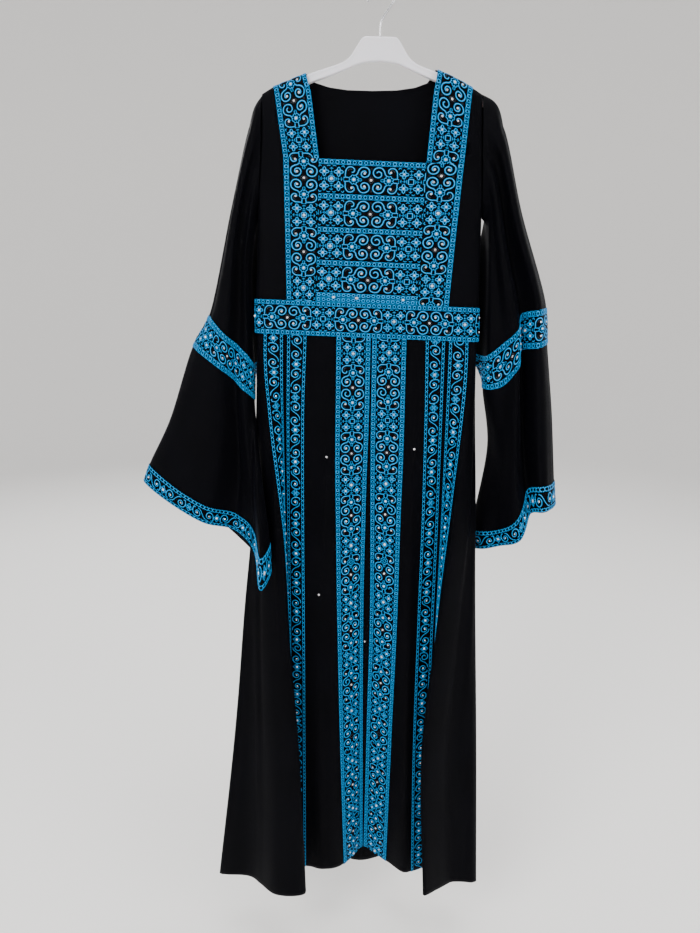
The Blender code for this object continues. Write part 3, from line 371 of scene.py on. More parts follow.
def smooth_along(knots, values, at):
    """Smooth, never overshooting, reading of values (last axis follows the knots)."""
    knots = np.asarray(knots, float)
    values = np.asarray(values, float)
    at = min(max(at, knots[0]), knots[-1])
    step = np.diff(knots)
    slope = np.diff(values, axis=-1) / step
    before, after = slope[..., :-1], slope[..., 1:]
    same = before * after > 0
    total = np.where(same, before + after, 1.0)
    inner = np.where(same, 2.0 * before * after / total, 0.0)
    tangent = np.concatenate([slope[..., :1], inner, slope[..., -1:]], axis=-1)
    k = min(int(np.searchsorted(knots, at, side="right")) - 1, len(step) - 1)
    t = (at - knots[k]) / step[k]
    return ((2 * t**3 - 3 * t**2 + 1) * values[..., k] + (3 * t**2 - 2 * t**3) * values[..., k + 1]
            + (t**3 - 2 * t**2 + t) * step[k] * tangent[..., k]
            + (t**3 - t**2) * step[k] * tangent[..., k + 1])


def closed_curve(points, steps):
    """A smooth closed curve through the points, with the given steps in each span."""
    points = np.asarray(points, float)
    ahead = np.roll(points, -1, axis=0)
    span = np.sqrt(np.linalg.norm(ahead - points, axis=1)) + 1e-9
    slope = (ahead - points) / span[:, None]
    before = np.roll(slope, 1, axis=0)
    span_before = np.roll(span, 1)[:, None]
    tangent = (before * span[:, None] + slope * span_before) / (span[:, None] + span_before)
    tangent_ahead = np.roll(tangent, -1, axis=0)
    t = np.arange(steps)[None, :, None] / steps
    h = span[:, None, None]
    curve = ((2 * t**3 - 3 * t**2 + 1) * points[:, None] + (3 * t**2 - 2 * t**3) * ahead[:, None]
             + (t**3 - 2 * t**2 + t) * h * tangent[:, None]
             + (t**3 - t**2) * h * tangent_ahead[:, None])
    curve = curve.reshape(-1, 3)
    return np.vstack([curve, curve[:1]])


def lengths_along(curve):
    """Distance along a curve at each of its points."""
    return np.concatenate([[0.0], np.cumsum(np.linalg.norm(np.diff(curve, axis=0), axis=1))])


def subdivided(marks, divisions):
    """Marks with evenly spaced values between them."""
    values = [marks[0]]
    for start, end, count in zip(marks, marks[1:], divisions):
        values += [start + (end - start) * (k + 1) / count for k in range(count)]
    return values


def window(at, start, end):
    """Rises from 0 at start and falls back to 0 at end, smoothly."""
    share = np.clip((at - start) / (end - start), 0, 1)
    return math.sin(math.pi * share) ** 0.7 if 0 < share < 1 else 0.0


# ---------------------------------------------------------------- forms of the dress
def tilted(points, share=1.0):
    """The waist of the dress runs down to the right."""
    points = np.array(points, float)
    ramp = np.clip((TILT_FROM - points[..., 2]) / (TILT_FROM - TILT_FULL), 0.0, 1.0)
    points[..., 2] -= TILT * ramp * share * (points[..., 0] - DRESS_X)
    return points


def body_centre(z):
    """Middle of the body at a height."""
    return float(np.interp(z, (WAIST_Z, NECK_Z), (WAIST_X, DRESS_X)))


def oval_share(offset, half):
    """Depth of the flat oval as a share, at a distance from its middle."""
    return (1.0 - min(abs(offset) / half, 1.0) ** FLATNESS) ** (1.0 / FLATNESS)


def oval_offset(share, half):
    """Distance from the middle at which the flat oval has a share of its depth."""
    return half * (1.0 - share ** FLATNESS) ** (1.0 / FLATNESS)


def bodice_point(x, z, top, is_front, share):
    """A point of the bodice's outer face; top is the shoulder or neck line above it."""
    front, back, edge = between(BODICE, z)[1:]
    depth = front if is_front else back
    edge = min(edge, depth)
    drop = min(max(top - z, 0.0) / RIDGE_RADIUS, 1.0)
    ridge = max(math.sqrt(1.0 - (1.0 - drop) ** 2), RIDGE_LEAST)
    y = (edge + (depth - edge) * share) * ridge
    return (x, -y if is_front else y, z)


def bodice_row(marks, divisions, z_of_x, top_of_x, is_front, flat_between=None):
    """One row of points from the left side to the right."""
    def point(x, share):
        z = z_of_x(x)
        top = top_of_x(x)
        if flat_between and flat_between[0] < x < flat_between[1]:
            top = z + 0.02
        return bodice_point(x, z, top, is_front, share)

    z = z_of_x(body_centre(CHEST_Z))
    half = between(BODICE, min(z, WIDTH_TOP_Z))[0]
    centre = body_centre(z)
    left = [point(centre - oval_offset(s, half), s) for s in SIDE_SHARES]
    right = [point(centre + oval_offset(s, half), s) for s in SIDE_SHARES[::-1]]
    ends = [left[-1][0]] + list(marks) + [right[0][0]]
    inner = subdivided(ends, divisions)[1:-1]
    middle = [point(x, oval_share(x - centre, half)) for x in inner]
    return left + middle + right


def strap_marks(height):
    """Strap edges (x) on a row of the bodice, found where each edge meets the row."""
    marks = []
    for column in range(4):
        x = between(STRAPS, NECK_Z)[column]
        for _ in range(4):
            x = between(STRAPS, height(x))[column]
        marks.append(x)
    return marks


RIDGE_DROPS = (0.0, 0.0004, 0.0012, 0.0025, 0.0045, 0.0075, 0.0125)
FRONT_DIVISIONS = (6, 12, 34, 12, 6)
BACK_DIVISIONS = (12, 2, 10, 12, 12, 10, 2, 12)
FRONT_EDGE = len(SIDE_SHARES) - 1


def bodice_front():
    """Grid of the front bodice, and the index of the row at the neck's lower edge."""
    rows = []

    def top(x):
        return between(SHOULDER, x)[0]

    for drop in RIDGE_DROPS:
        def height(x, drop=drop):
            return top(x) - drop
        rows.append(bodice_row(strap_marks(height), FRONT_DIVISIONS, height, top, True))
    for share in np.linspace(0, 1, 19)[1:]:
        def height(x, share=share):
            start = top(x) - RIDGE_DROPS[-1]
            return start + (NECK_Z - start) * share
        rows.append(bodice_row(strap_marks(height), FRONT_DIVISIONS, height, top, True))
    neck_row = len(rows) - 1
    levels = []
    for start, end in zip(CHEST_ROWS, CHEST_ROWS[1:] + (WAIST_Z,)):
        steps = max(2, int(round((start - end) / 0.0066)))
        levels += list(np.linspace(start, end, steps + 1)[1:])
    for level in levels:
        def height(x, level=level):
            return level
        rows.append(bodice_row(strap_marks(height), FRONT_DIVISIONS, height, top, True))
    row_of = {round(level, 4): neck_row + 1 + k for k, level in enumerate(levels)}
    row_of[round(NECK_Z, 4)] = neck_row
    return tilted(rows), neck_row, row_of


def bodice_back():
    """Grid of the back bodice, from left to right seen from the front."""
    corners = (BACK_NECK[0][0], BACK_NECK[-1][0])
    offsets = (corners[0], corners[0] + 0.0045, -0.06, 0.0, 0.06, corners[1] - 0.0045, corners[1])
    marks = [DRESS_X + offset for offset in offsets]

    def top(x):
        shoulder = between(SHOULDER, x)[0]
        in_neck = corners[0] < x - DRESS_X < corners[1]
        return min(shoulder, between(BACK_NECK, x - DRESS_X)[0]) if in_neck else shoulder

    flat = (marks[0] + 0.001, marks[-1] - 0.001)
    rows = []
    for drop in RIDGE_DROPS:
        def height(x, drop=drop):
            return top(x) - drop
        rows.append(bodice_row(marks, BACK_DIVISIONS, height, top, False, flat))
    for share in np.linspace(0, 1, 48)[1:]:
        def height(x, share=share):
            start = top(x) - RIDGE_DROPS[-1]
            return start + (WAIST_Z - start) * share
        rows.append(bodice_row(marks, BACK_DIVISIONS, height, top, False, flat))
    return tilted(rows)


FOLD_NAMES = [row[0] for row in SKIRT_FOLDS]
RING_STEPS = 20


def skirt_ring(drop):
    """The skirt's closed section at a share of its drop, creases included."""
    points = []
    for name, xs, ys, hem in SKIRT_FOLDS:
        share = oval_share(xs[0] - WAIST_X, WAIST_HALF)
        if name.startswith("seam"):
            share = 0.6
        first = WAIST_BACK * share if name.startswith(("back", "seam")) else -WAIST_FRONT * share
        x = smooth_along(SKIRT_DROPS, xs, drop)
        y = smooth_along(SKIRT_DROPS, (first,) + ys, drop)
        points.append((x, y, WAIST_Z + (hem - WAIST_Z) * drop))
    ring = closed_curve(points, RING_STEPS)
    along = lengths_along(ring)
    tangent = np.gradient(ring, axis=0)
    tangent[0] = tangent[-1] = ring[1] - ring[-2]
    normal = np.stack([tangent[:, 1], -tangent[:, 0], np.zeros(len(ring))], axis=1)
    normal /= np.linalg.norm(normal, axis=1, keepdims=True)
    push = np.zeros(len(ring))
    for name, start, end, half, height, first, last in SKIRT_CREASES:
        share = min(max((drop - first) / (last - first), 0), 1)
        centre = along[FOLD_NAMES.index(name) * RING_STEPS] + start + (end - start) * share
        wander = 0.0015 * math.sin(9 * drop + 40 * start)
        offset = (along - centre - wander + along[-1] / 2) % along[-1] - along[-1] / 2
        push += height * window(drop, first, last) * np.exp(-(offset / half) ** 2)
    ring = ring + normal * push[:, None]
    ring[-1] = ring[0]
    return tilted(ring, 1.0 - drop)


class Skirt:
    """All rings of the skirt, from which its panels are read."""

    def __init__(self, rows=150):
        self.drops = np.concatenate([np.linspace(0, 0.0256, 5), np.linspace(0.0256, 1, rows)[1:]])
        self.rings = [skirt_ring(drop) for drop in self.drops]

    def grid(self, marks, divisions):
        """Rows of a panel from the waist down; marks are (fold, metres on, share of the gap)."""
        rows = []
        for drop, ring in zip(self.drops, self.rings):
            along = lengths_along(ring)
            gap = smooth_along(SKIRT_DROPS, MIDDLE_GAPS, drop)
            places = []
            for name, offset, gap_share in marks:
                index = len(along) - 1 if name == "end" else FOLD_NAMES.index(name) * RING_STEPS
                places.append(along[index] + offset + gap * gap_share)
            places = subdivided(places, divisions)
            rows.append(np.stack([np.interp(places, along, ring[:, k]) for k in range(3)], 1))
        return np.array(rows)


def sleeve_grid(side, folds, cap_round, rings, steps=10):
    """Rows of a sleeve tube; the last column repeats the first."""
    places = np.array([row[1:] for row in folds], float)
    sign = np.sign(places[0, 0, 0])
    for place in places[:, 0]:
        half = between(BODICE, place[2])[0]
        place[0] = body_centre(place[2]) + sign * (half + 0.0004)
    if sign > 0:
        places = places[::-1]
    count = len(places)
    knots = range(places.shape[1])
    round_places = np.arange(count * steps + 1) / steps
    if sign > 0:
        round_places = (count - 1 - round_places) % count
    rows = []
    for ring in rings:
        points = smooth_along(knots, np.swapaxes(places, 1, 2), ring)
        near_top = np.clip(1 - (points[:, 2].max() - points[:, 2]) / CAP_REACH, 0, 1)
        swell = cap_round * np.sin(np.pi * min(ring, 1)) * near_top
        points = points + swell[:, None] * np.array((0.6 * sign, 0, 0.8))
        curve = closed_curve(points, steps)
        tangent = np.gradient(curve, axis=0)
        tangent[0] = tangent[-1] = curve[1] - curve[-2]
        axis = smooth_along(knots, np.swapaxes(places, 1, 2), min(ring + 0.2, 7)).mean(0)
        axis = axis - smooth_along(knots, np.swapaxes(places, 1, 2), max(ring - 0.2, 0)).mean(0)
        normal = np.cross(axis / np.linalg.norm(axis), tangent)
        normal /= np.linalg.norm(normal, axis=1, keepdims=True) + 1e-12
        push = np.zeros(len(curve))
        for start, end, half, height, first, last in SLEEVE_CREASES[side]:
            share = min(max((ring - first) / (last - first), 0), 1)
            offset = (round_places - start - (end - start) * share + count / 2) % count - count / 2
            push += height * window(ring, first, last) * np.exp(-(offset / half) ** 2)
        curve = curve + normal * push[:, None]
        curve[-1] = curve[0]
        rows.append(curve)
    return np.array(rows)


# ---------------------------------------------------------------- cloth meshes
def grid_normals(grid, closed):
    """Outward normals of a grid whose columns run round to the right and rows run down."""
    across = np.gradient(grid, axis=1)
    if closed:
        ends = (grid[:, 1] - grid[:, -2]) / 2
        across[:, 0] = ends
        across[:, -1] = ends
    down = np.gradient(grid, axis=0)
    normal = np.cross(down, across)
    return normal / (np.linalg.norm(normal, axis=2, keepdims=True) + 1e-12)


def cloth_size(grid):
    """Width across, length down and area of a grid of cloth."""
    across = np.linalg.norm(np.diff(grid, axis=1), axis=2)
    down = np.linalg.norm(np.diff(grid, axis=0), axis=2)
    diagonals = np.cross(grid[1:, 1:] - grid[:-1, :-1], grid[1:, :-1] - grid[:-1, 1:])
    area = np.linalg.norm(diagonals, axis=2).sum() / 2
    return float(across.sum(1).max()), float(down.sum(0).max()), float(area)


def mesh_from(bm, name):
    """A mesh of what a bmesh holds, which is then freed."""
    mesh = bpy.data.meshes.new(name)
    bm.to_mesh(mesh)
    bm.free()
    return mesh


def add_piece(name, data):
    """Puts a piece of the dress or hanger in the scene, moving with the body."""
    piece = bpy.data.objects.new(name, data)
    bpy.context.scene.collection.objects.link(piece)
    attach(piece, "root")
    return piece


def cloth(name, grid, wall, material, closed=False, cut=None):
    """A sheet of cloth: a grid shaped to the points, with a UV map in metres and a wall."""
    rows, columns = grid.shape[:2]
    bm = bmesh.new()
    bmesh.ops.create_grid(bm, x_segments=columns - 1, y_segments=rows - 1, size=1.0)
    mesh = mesh_from(bm, name)
    mesh.vertices.foreach_set("co", np.ascontiguousarray(grid[::-1]).reshape(-1))
    across = np.concatenate([np.zeros((rows, 1)),
                             np.cumsum(np.linalg.norm(np.diff(grid, axis=1), axis=2), axis=1)], 1)
    middle = np.linalg.norm(np.diff(grid[:, columns // 2], axis=0), axis=1)
    down = np.concatenate([[0.0], np.cumsum(middle)])
    plan = np.stack([across, -np.repeat(down[:, None], columns, axis=1)], axis=2)[::-1]
    layer = mesh.uv_layers.new(name="Cloth")
    corner = np.empty(len(mesh.loops), int)
    mesh.loops.foreach_get("vertex_index", corner)
    layer.data.foreach_set("uv", plan.reshape(-1, 2)[corner].reshape(-1))
    if closed or cut is not None:
        bm = bmesh.new()
        bm.from_mesh(mesh)
        if cut is not None:
            first_row, last_row, first_column, last_column = cut
            unwanted = []
            for index, face in enumerate(bm.faces):
                row = rows - 2 - index // (columns - 1)
                column = index % (columns - 1)
                if first_row <= row < last_row and first_column <= column < last_column:
                    unwanted.append(face)
            bmesh.ops.delete(bm, geom=unwanted, context="FACES")
        if closed:
            bmesh.ops.remove_doubles(bm, verts=bm.verts, dist=0.00002)
        bm.to_mesh(mesh)
        bm.free()
    mesh.shade_smooth()
    mesh.materials.append(material)
    piece = add_piece(name, mesh)
    solid = piece.modifiers.new("Wall", "SOLIDIFY")
    solid.thickness = wall
    solid.offset = -1.0
    return piece


class Band:
    """A strip of a panel that a trim lies on, with its own coordinates."""

    def __init__(self, grid, rows, columns, lengthwise=True, closed=False):
        normals = grid_normals(grid, closed)
        self.ground = (grid + normals * TRIM_LIFT)[rows[0]:rows[1] + 1, columns[0]:columns[1] + 1]
        normals = normals[rows[0]:rows[1] + 1, columns[0]:columns[1] + 1]
        self.points = self.ground if lengthwise else np.swapaxes(self.ground, 0, 1)
        self.normals = normals if lengthwise else np.swapaxes(normals, 0, 1)
        middle = self.points[:, self.points.shape[1] // 2]
        self.along = lengths_along(middle)
        self.length = float(self.along[-1])

    def place(self, share, along, height):
        """Points at a share of the width, a distance along and a height above the ground."""
        count, wide = self.points.shape[:2]
        row = np.interp(along, self.along, np.arange(count))
        column = np.clip(share, 0, 1) * (wide - 1)
        r0 = np.clip(np.floor(row).astype(int), 0, count - 2)
        c0 = np.clip(np.floor(column).astype(int), 0, wide - 2)
        fr = (row - r0)[:, None]
        fc = (column - c0)[:, None]

        def read(values):
            top = values[r0, c0] * (1 - fc) + values[r0, c0 + 1] * fc
            low = values[r0 + 1, c0] * (1 - fc) + values[r0 + 1, c0 + 1] * fc
            return top * (1 - fr) + low * fr

        normal = read(self.normals)
        normal /= np.linalg.norm(normal, axis=1, keepdims=True) + 1e-12
        return read(self.points) + normal * height[:, None]


# ---------------------------------------------------------------- embroidery charts
def through(*knots, steps=5, closed=False):
    """A smooth line through knots (across, along), in millimetres."""
    knots = np.array(knots, float)
    count = len(knots)
    line = []
    spans = count if closed else count - 1
    for k in range(spans):
        if closed:
            p = [knots[(k + d) % count] for d in (-1, 0, 1, 2)]
        else:
            p = [knots[min(max(k + d, 0), count - 1)] for d in (-1, 0, 1, 2)]
        for t in np.arange(steps) / steps:
            line.append(0.5 * (2 * p[1] + (p[2] - p[0]) * t
                               + (2 * p[0] - 5 * p[1] + 4 * p[2] - p[3]) * t**2
                               + (3 * p[1] - p[0] - 3 * p[2] + p[3]) * t**3))
    if not closed:
        line.append(knots[-1])
    return np.array(line)


def arc(centre, radius, start, end, steps=12, shrink=0.0):
    """Part of a circle or, with shrink, of a spiral; angles in degrees from +across."""
    angles = np.radians(np.linspace(start, end, steps + 1))
    radii = radius * (1 - shrink * np.linspace(0, 1, steps + 1))
    return np.stack([centre[0] + radii * np.cos(angles), centre[1] + radii * np.sin(angles)], 1)


def loop_petal(centre, angle, length, width):
    """A pointed loop that starts and ends at the flower's centre."""
    shape = np.array([(0.10, 0), (0.45, 0.42), (0.78, 0.46),
                      (1.0, 0), (0.78, -0.46), (0.45, -0.42)])
    shape = shape * (length, width)
    turn = math.radians(angle)
    c, s = math.cos(turn), math.sin(turn)
    return np.array([(centre[0] + x * c - y * s, centre[1] + x * s + y * c) for x, y in shape])


class Chart:
    """One repeat of a trim: lines of thread and places of stones, in millimetres."""

    def __init__(self, width, repeat):
        self.width = width
        self.repeat = repeat
        self.lines = []
        self.stones = []

    def sew(self, line, thickness=1.2, closed=False, grey=False, mirrored="ab", rise=1.0):
        """Adds a line and its mirror images across (a) and along (b)."""
        flips = [(1, 1)]
        if "a" in mirrored:
            flips += [(-x, y) for x, y in flips]
        if "b" in mirrored:
            flips += [(x, -y) for x, y in flips]
        for flip in flips:
            self.lines.append((np.asarray(line) * flip, thickness, closed, grey, rise))

    def stone(self, a, b, mirrored="ab", size=1.0):
        """Adds a stone and its mirror images."""
        places = {(a, b)}
        if "a" in mirrored:
            places |= {(-x, y) for x, y in places}
        if "b" in mirrored:
            places |= {(x, -y) for x, y in places}
        self.stones += [(x, y, size) for x, y in sorted(places)]

    def mesh(self, name, rise):
        """The chart as a flat mesh of raised threads: across, along and height in metres."""
        bm = bmesh.new()
        layer = bm.loops.layers.uv.new("Thread")
        for line, thickness, closed, grey, lift in self.lines:
            step = np.gradient(line, axis=0)
            if closed:
                step = (np.roll(line, -1, axis=0) - np.roll(line, 1, axis=0)) / 2
                line = np.vstack([line, line[:1]])
                step = np.vstack([step, step[:1]])
            side = np.stack([-step[:, 1], step[:, 0]], 1)
            side /= np.linalg.norm(side, axis=1, keepdims=True) + 1e-9
            reach = thickness / 2 * np.ones(len(line))
            if not closed:
                reach[0] *= 0.45
                reach[-1] *= 0.45
            made = bmesh.ops.create_grid(bm, x_segments=3, y_segments=len(line) - 1, size=1.0)
            far = lengths_along(line) / 1000
            for index, vert in enumerate(made["verts"]):
                row, column = index // 4, index % 4
                share = (-1.0, -0.5, 0.5, 1.0)[column]
                place = (line[row] + side[row] * reach[row] * -share) / 1000
                high = rise * lift if column in (1, 2) else -0.0001
                vert.co = (place[0], place[1], high)
            for face in {face for vert in made["verts"] for face in vert.link_faces}:
                face.material_index = 1 if grey else 0
                face.smooth = True
            for index, vert in enumerate(made["verts"]):
                for corner in vert.link_loops:
                    corner[layer].uv = (far[index // 4], index % 4 * thickness / 3000)
        return mesh_from(bm, name)


def wide_chart(left_border=True, right_border=True):
    """The wide trim: flower blocks, medallions and facing spirals between chain borders."""
    chart = Chart(58.0, WIDE_REPEAT)
    # block of four flowers round a small square
    chart.sew(through((3.6, 3.6), (3.9, 0), (3.6, -3.6), (0, -3.9), (-3.6, -3.6), (-3.9, 0),
                      (-3.6, 3.6), (0, 3.9), steps=2, closed=True), 1.9, closed=True, mirrored="")
    chart.stone(0, 0, mirrored="", size=1.35)
    flower = (10.6, 10.6)
    for turn in range(8):
        angle = 45 * turn
        if turn % 2:
            tip = (flower[0] + 4.9 * math.cos(math.radians(angle)),
                   flower[1] + 4.9 * math.sin(math.radians(angle)))
            chart.sew(through(flower, tip, steps=2), 3.1)
        else:
            chart.sew(loop_petal(flower, angle, 6.9, 4.0), 1.6, closed=True)
    chart.stone(*flower)
    for b, spread in ((6.2, 2.6), (9.4, 2.2), (14.4, 2.6)):
        chart.sew(through((-spread, b), (0, b + 1.1), (spread, b), steps=2), 1.2, mirrored="b")
    chart.sew(np.array([(0, 6.0), (0, 15.6)]), 1.3, mirrored="b")
    for a, spread in ((6.2, 2.6), (9.6, 2.2), (15.0, 2.6)):
        chart.sew(through((a, -spread), (a + 1.1, 0), (a, spread), steps=2), 1.2, mirrored="a")
    chart.sew(np.array([(6.0, 0), (17.6, 0)]), 1.3, mirrored="a")
    chart.sew(through((18.9, 1.6), (20.0, 4.2), (18.7, 6.8), steps=2), 1.3)
    chart.sew(through((18.4, 14.6), (19.9, 17.4), (17.0, 18.9), steps=2), 1.4)
    # stem between the block and the medallion
    chart.sew(through((2.9, 17.6), (3.1, 21.0), (2.7, 26.2), steps=2), 1.75)
    chart.sew(np.array([(-3.4, 18.2), (3.4, 18.2)]), 1.6, mirrored="b")
    # medallion
    for turn in range(8):
        angle = 22.5 + turn * 45
        centre = (5.1 * math.cos(math.radians(angle)), 32.8 + 5.1 * math.sin(math.radians(angle)))
        chart.sew(arc(centre, 2.1, angle - 112, angle + 112, 5), 1.4, mirrored="b")
    chart.sew(arc((0, 32.8), 2.9, 0, 324, 9), 1.5, closed=True, mirrored="b")
    chart.stone(0, 32.8, mirrored="b", size=1.1)
    # curls that flare from the stem
    chart.sew(through((3.4, 20.4), (8.6, 20.4), (13.6, 21.0), (18.0, 24.4), (18.6, 29.6),
                      (15.6, 33.4), (11.4, 32.8), (10.6, 29.4), steps=4), 1.95)
    chart.sew(through((12.2, 24.2), (15.0, 25.6), (15.6, 28.8), (14.0, 30.2), steps=2), 0.9,
              grey=True)
    chart.stone(12.4, 29.8, size=0.9)
    # spirals whose tails sweep up from the medallion
    chart.sew(through((6.6, 35.6), (9.4, 38.2), (14.0, 39.8), (18.2, 43.4), (19.0, 49.0),
                      (16.0, 54.4), (10.6, 55.8), (5.6, 53.0), (4.2, 47.6), (7.2, 43.8),
                      (11.8, 44.6), (13.2, 48.6), (10.8, 51.0), steps=4), 2.05)
    chart.stone(9.9, 48.6)
    chart.sew(through((0.6, 39.6), (1.8, 42.2), (0.6, 45.0), steps=2), 1.2)
    chart.sew(through((0.6, 54.4), (3.0, 56.6), (5.4, 57.8), steps=2), 0.9, grey=True)
    chart.sew(np.array([(14.8, 57.4), (18.2, 57.9)]), 1.0, grey=True)
    chart.stone(0, 58.3, mirrored="", size=1.1)
    # chain borders: rings and small squares in turn between fine edge lines
    for side, wanted in ((-1, left_border), (1, right_border)):
        if not wanted:
            continue
        middle = 25.2 * side
        for link in range(CHAIN_LINKS):
            b = -WIDE_REPEAT / 2 + link * WIDE_REPEAT / CHAIN_LINKS
            if link % 2:
                chart.sew(arc((middle, b), 2.35, 0, 315, 8), 1.35, closed=True, mirrored="")
            else:
                square = ((2.2, 1.4), (2.2, -1.4), (1.4, -2.2), (-1.4, -2.2), (-2.2, -1.4),
                          (-2.2, 1.4), (-1.4, 2.2), (1.4, 2.2))
                chart.sew(np.array(square) + (middle, b), 1.7, closed=True, mirrored="")
            for side_step in (-1.6, 1.6):
                ends = np.array([(middle + side_step, b + 3.0), (middle + side_step, b + 5.3)])
                chart.sew(ends, 1.2, mirrored="", rise=0.8)
        for offset in (-3.3, 3.3):
            b = np.linspace(-WIDE_REPEAT / 2, WIDE_REPEAT / 2, 2 * CHAIN_LINKS + 1)
            wave = middle + offset + 0.22 * np.cos(b * 2 * math.pi * CHAIN_LINKS / WIDE_REPEAT)
            chart.sew(np.stack([wave, b], 1), 0.75, mirrored="", rise=0.8)
    return chart


def border_chart():
    """Two chain borders side by side, with a line of stones."""
    chart = Chart(20.0, WIDE_REPEAT)
    for middle in (-5.2, 5.2):
        for link in range(CHAIN_LINKS):
            b = -WIDE_REPEAT / 2 + link * WIDE_REPEAT / CHAIN_LINKS
            chart.sew(arc((middle, b), 2.6, 0, 315, 8), 2.0, closed=True, mirrored="")
            ends = np.array([(middle, b + 3.0), (middle, b + 5.3)])
            chart.sew(ends, 2.6, mirrored="", rise=0.8)
        for offset in (-3.7, 3.7):
            b = np.linspace(-WIDE_REPEAT / 2, WIDE_REPEAT / 2, 2 * CHAIN_LINKS + 1)
            chart.sew(np.stack([np.full_like(b, middle + offset), b], 1), 1.1, mirrored="",
                      rise=0.8)
    for b in (-39.0, 0.0, 39.0):
        chart.stone(-0.2, b, mirrored="", size=1.5)
    return chart


def narrow_chart(width=34.0):
    """The narrow trim: a star flower and an S of two spirals between twisted ropes."""
    chart = Chart(width, NARROW_REPEAT)
    edge = width / 2 - 3.1
    for side in (-1, 1):
        for link in range(CHAIN_LINKS):
            b = -NARROW_REPEAT / 2 + link * NARROW_REPEAT / CHAIN_LINKS
            twist = through((-1.7, -3.6), (-1.9, -1.0), (1.5, 1.4), (1.7, 3.8), steps=3)
            chart.sew(twist + (side * edge, b), 1.3, mirrored="")
            chart.sew(twist * (-1, 1) + (side * edge, b), 1.3, mirrored="")
    for half, flip in ((-1, 1), (1, -1)):
        centre = (0.0, half * NARROW_REPEAT / 4)
        for turn in range(8):
            angle = turn * 45
            tip = 6.4 if turn % 2 else 7.6
            ends = (centre, (centre[0] + tip * math.cos(math.radians(angle)),
                             centre[1] + tip * math.sin(math.radians(angle))))
            if turn % 2:
                chart.sew(through(*ends, steps=2), 2.1, mirrored="")
            else:
                chart.sew(loop_petal(centre, angle, tip, 3.6), 1.35, closed=True, mirrored="")
        chart.stone(*centre, mirrored="", size=1.3)
        start = half * NARROW_REPEAT / 4 + 9.4
        one = through((-7.6, 3.4), (-7.8, -0.2), (-2.0, -1.4), (4.6, 0.4), (8.0, 5.4), (7.0, 11.0),
                      (2.0, 13.6), (-3.0, 11.2), (-3.4, 6.4), (0.4, 4.2), (3.4, 6.6), steps=4)
        two = np.array([(-a, 39.6 - b) for a, b in one])
        for line in (one, two):
            chart.sew(np.array([(flip * a, start + b) for a, b in line]), 1.75, mirrored="")
        leaf = through((-8.2, 8.0), (-6.8, 13.4), (-2.0, 17.0), (3.8, 20.6), (8.0, 25.6),
                       (8.6, 30.4), steps=3)
        chart.sew(np.array([(flip * a, start + b) for a, b in leaf]), 1.5, mirrored="")
        chart.stone(flip * 0.6, start + 8.0, mirrored="", size=0.9)
        chart.stone(flip * -0.6, start + 31.6, mirrored="", size=0.9)
    wrapped = []
    for line, thickness, closed, grey, rise in chart.lines:
        shift = -NARROW_REPEAT if line[:, 1].mean() > NARROW_REPEAT / 2 else 0.0
        wrapped.append((line + (0.0, shift), thickness, closed, grey, rise))
    chart.lines = wrapped
    chart.stones = [(a, b - NARROW_REPEAT if b > NARROW_REPEAT / 2 else b, size)
                    for a, b, size in chart.stones]
    return chart


CHARTS = {}


def chart_mesh(kind, rise):
    """The chart of a kind of trim and its mesh, drawn once."""
    if kind not in CHARTS:
        makers = {"wide": wide_chart, "narrow": narrow_chart, "border": border_chart,
                  "wide_left": lambda: wide_chart(True, False),
                  "wide_right": lambda: wide_chart(False, True),
                  "hem": lambda: narrow_chart(32.0)}
        chart = makers[kind]()
        CHARTS[kind] = (chart, chart.mesh(f"chart_{kind}", rise))
    return CHARTS[kind]


def add_crystal(bm, radius, matrix):
    """Adds a cut crystal: a low cone with flat sides and a flat top."""
    return bmesh.ops.create_cone(bm, cap_ends=True, segments=CRYSTAL_SIDES, radius1=radius,
                                 radius2=radius * CRYSTAL_TOP, depth=radius * CRYSTAL_DEPTH,
                                 matrix=matrix)


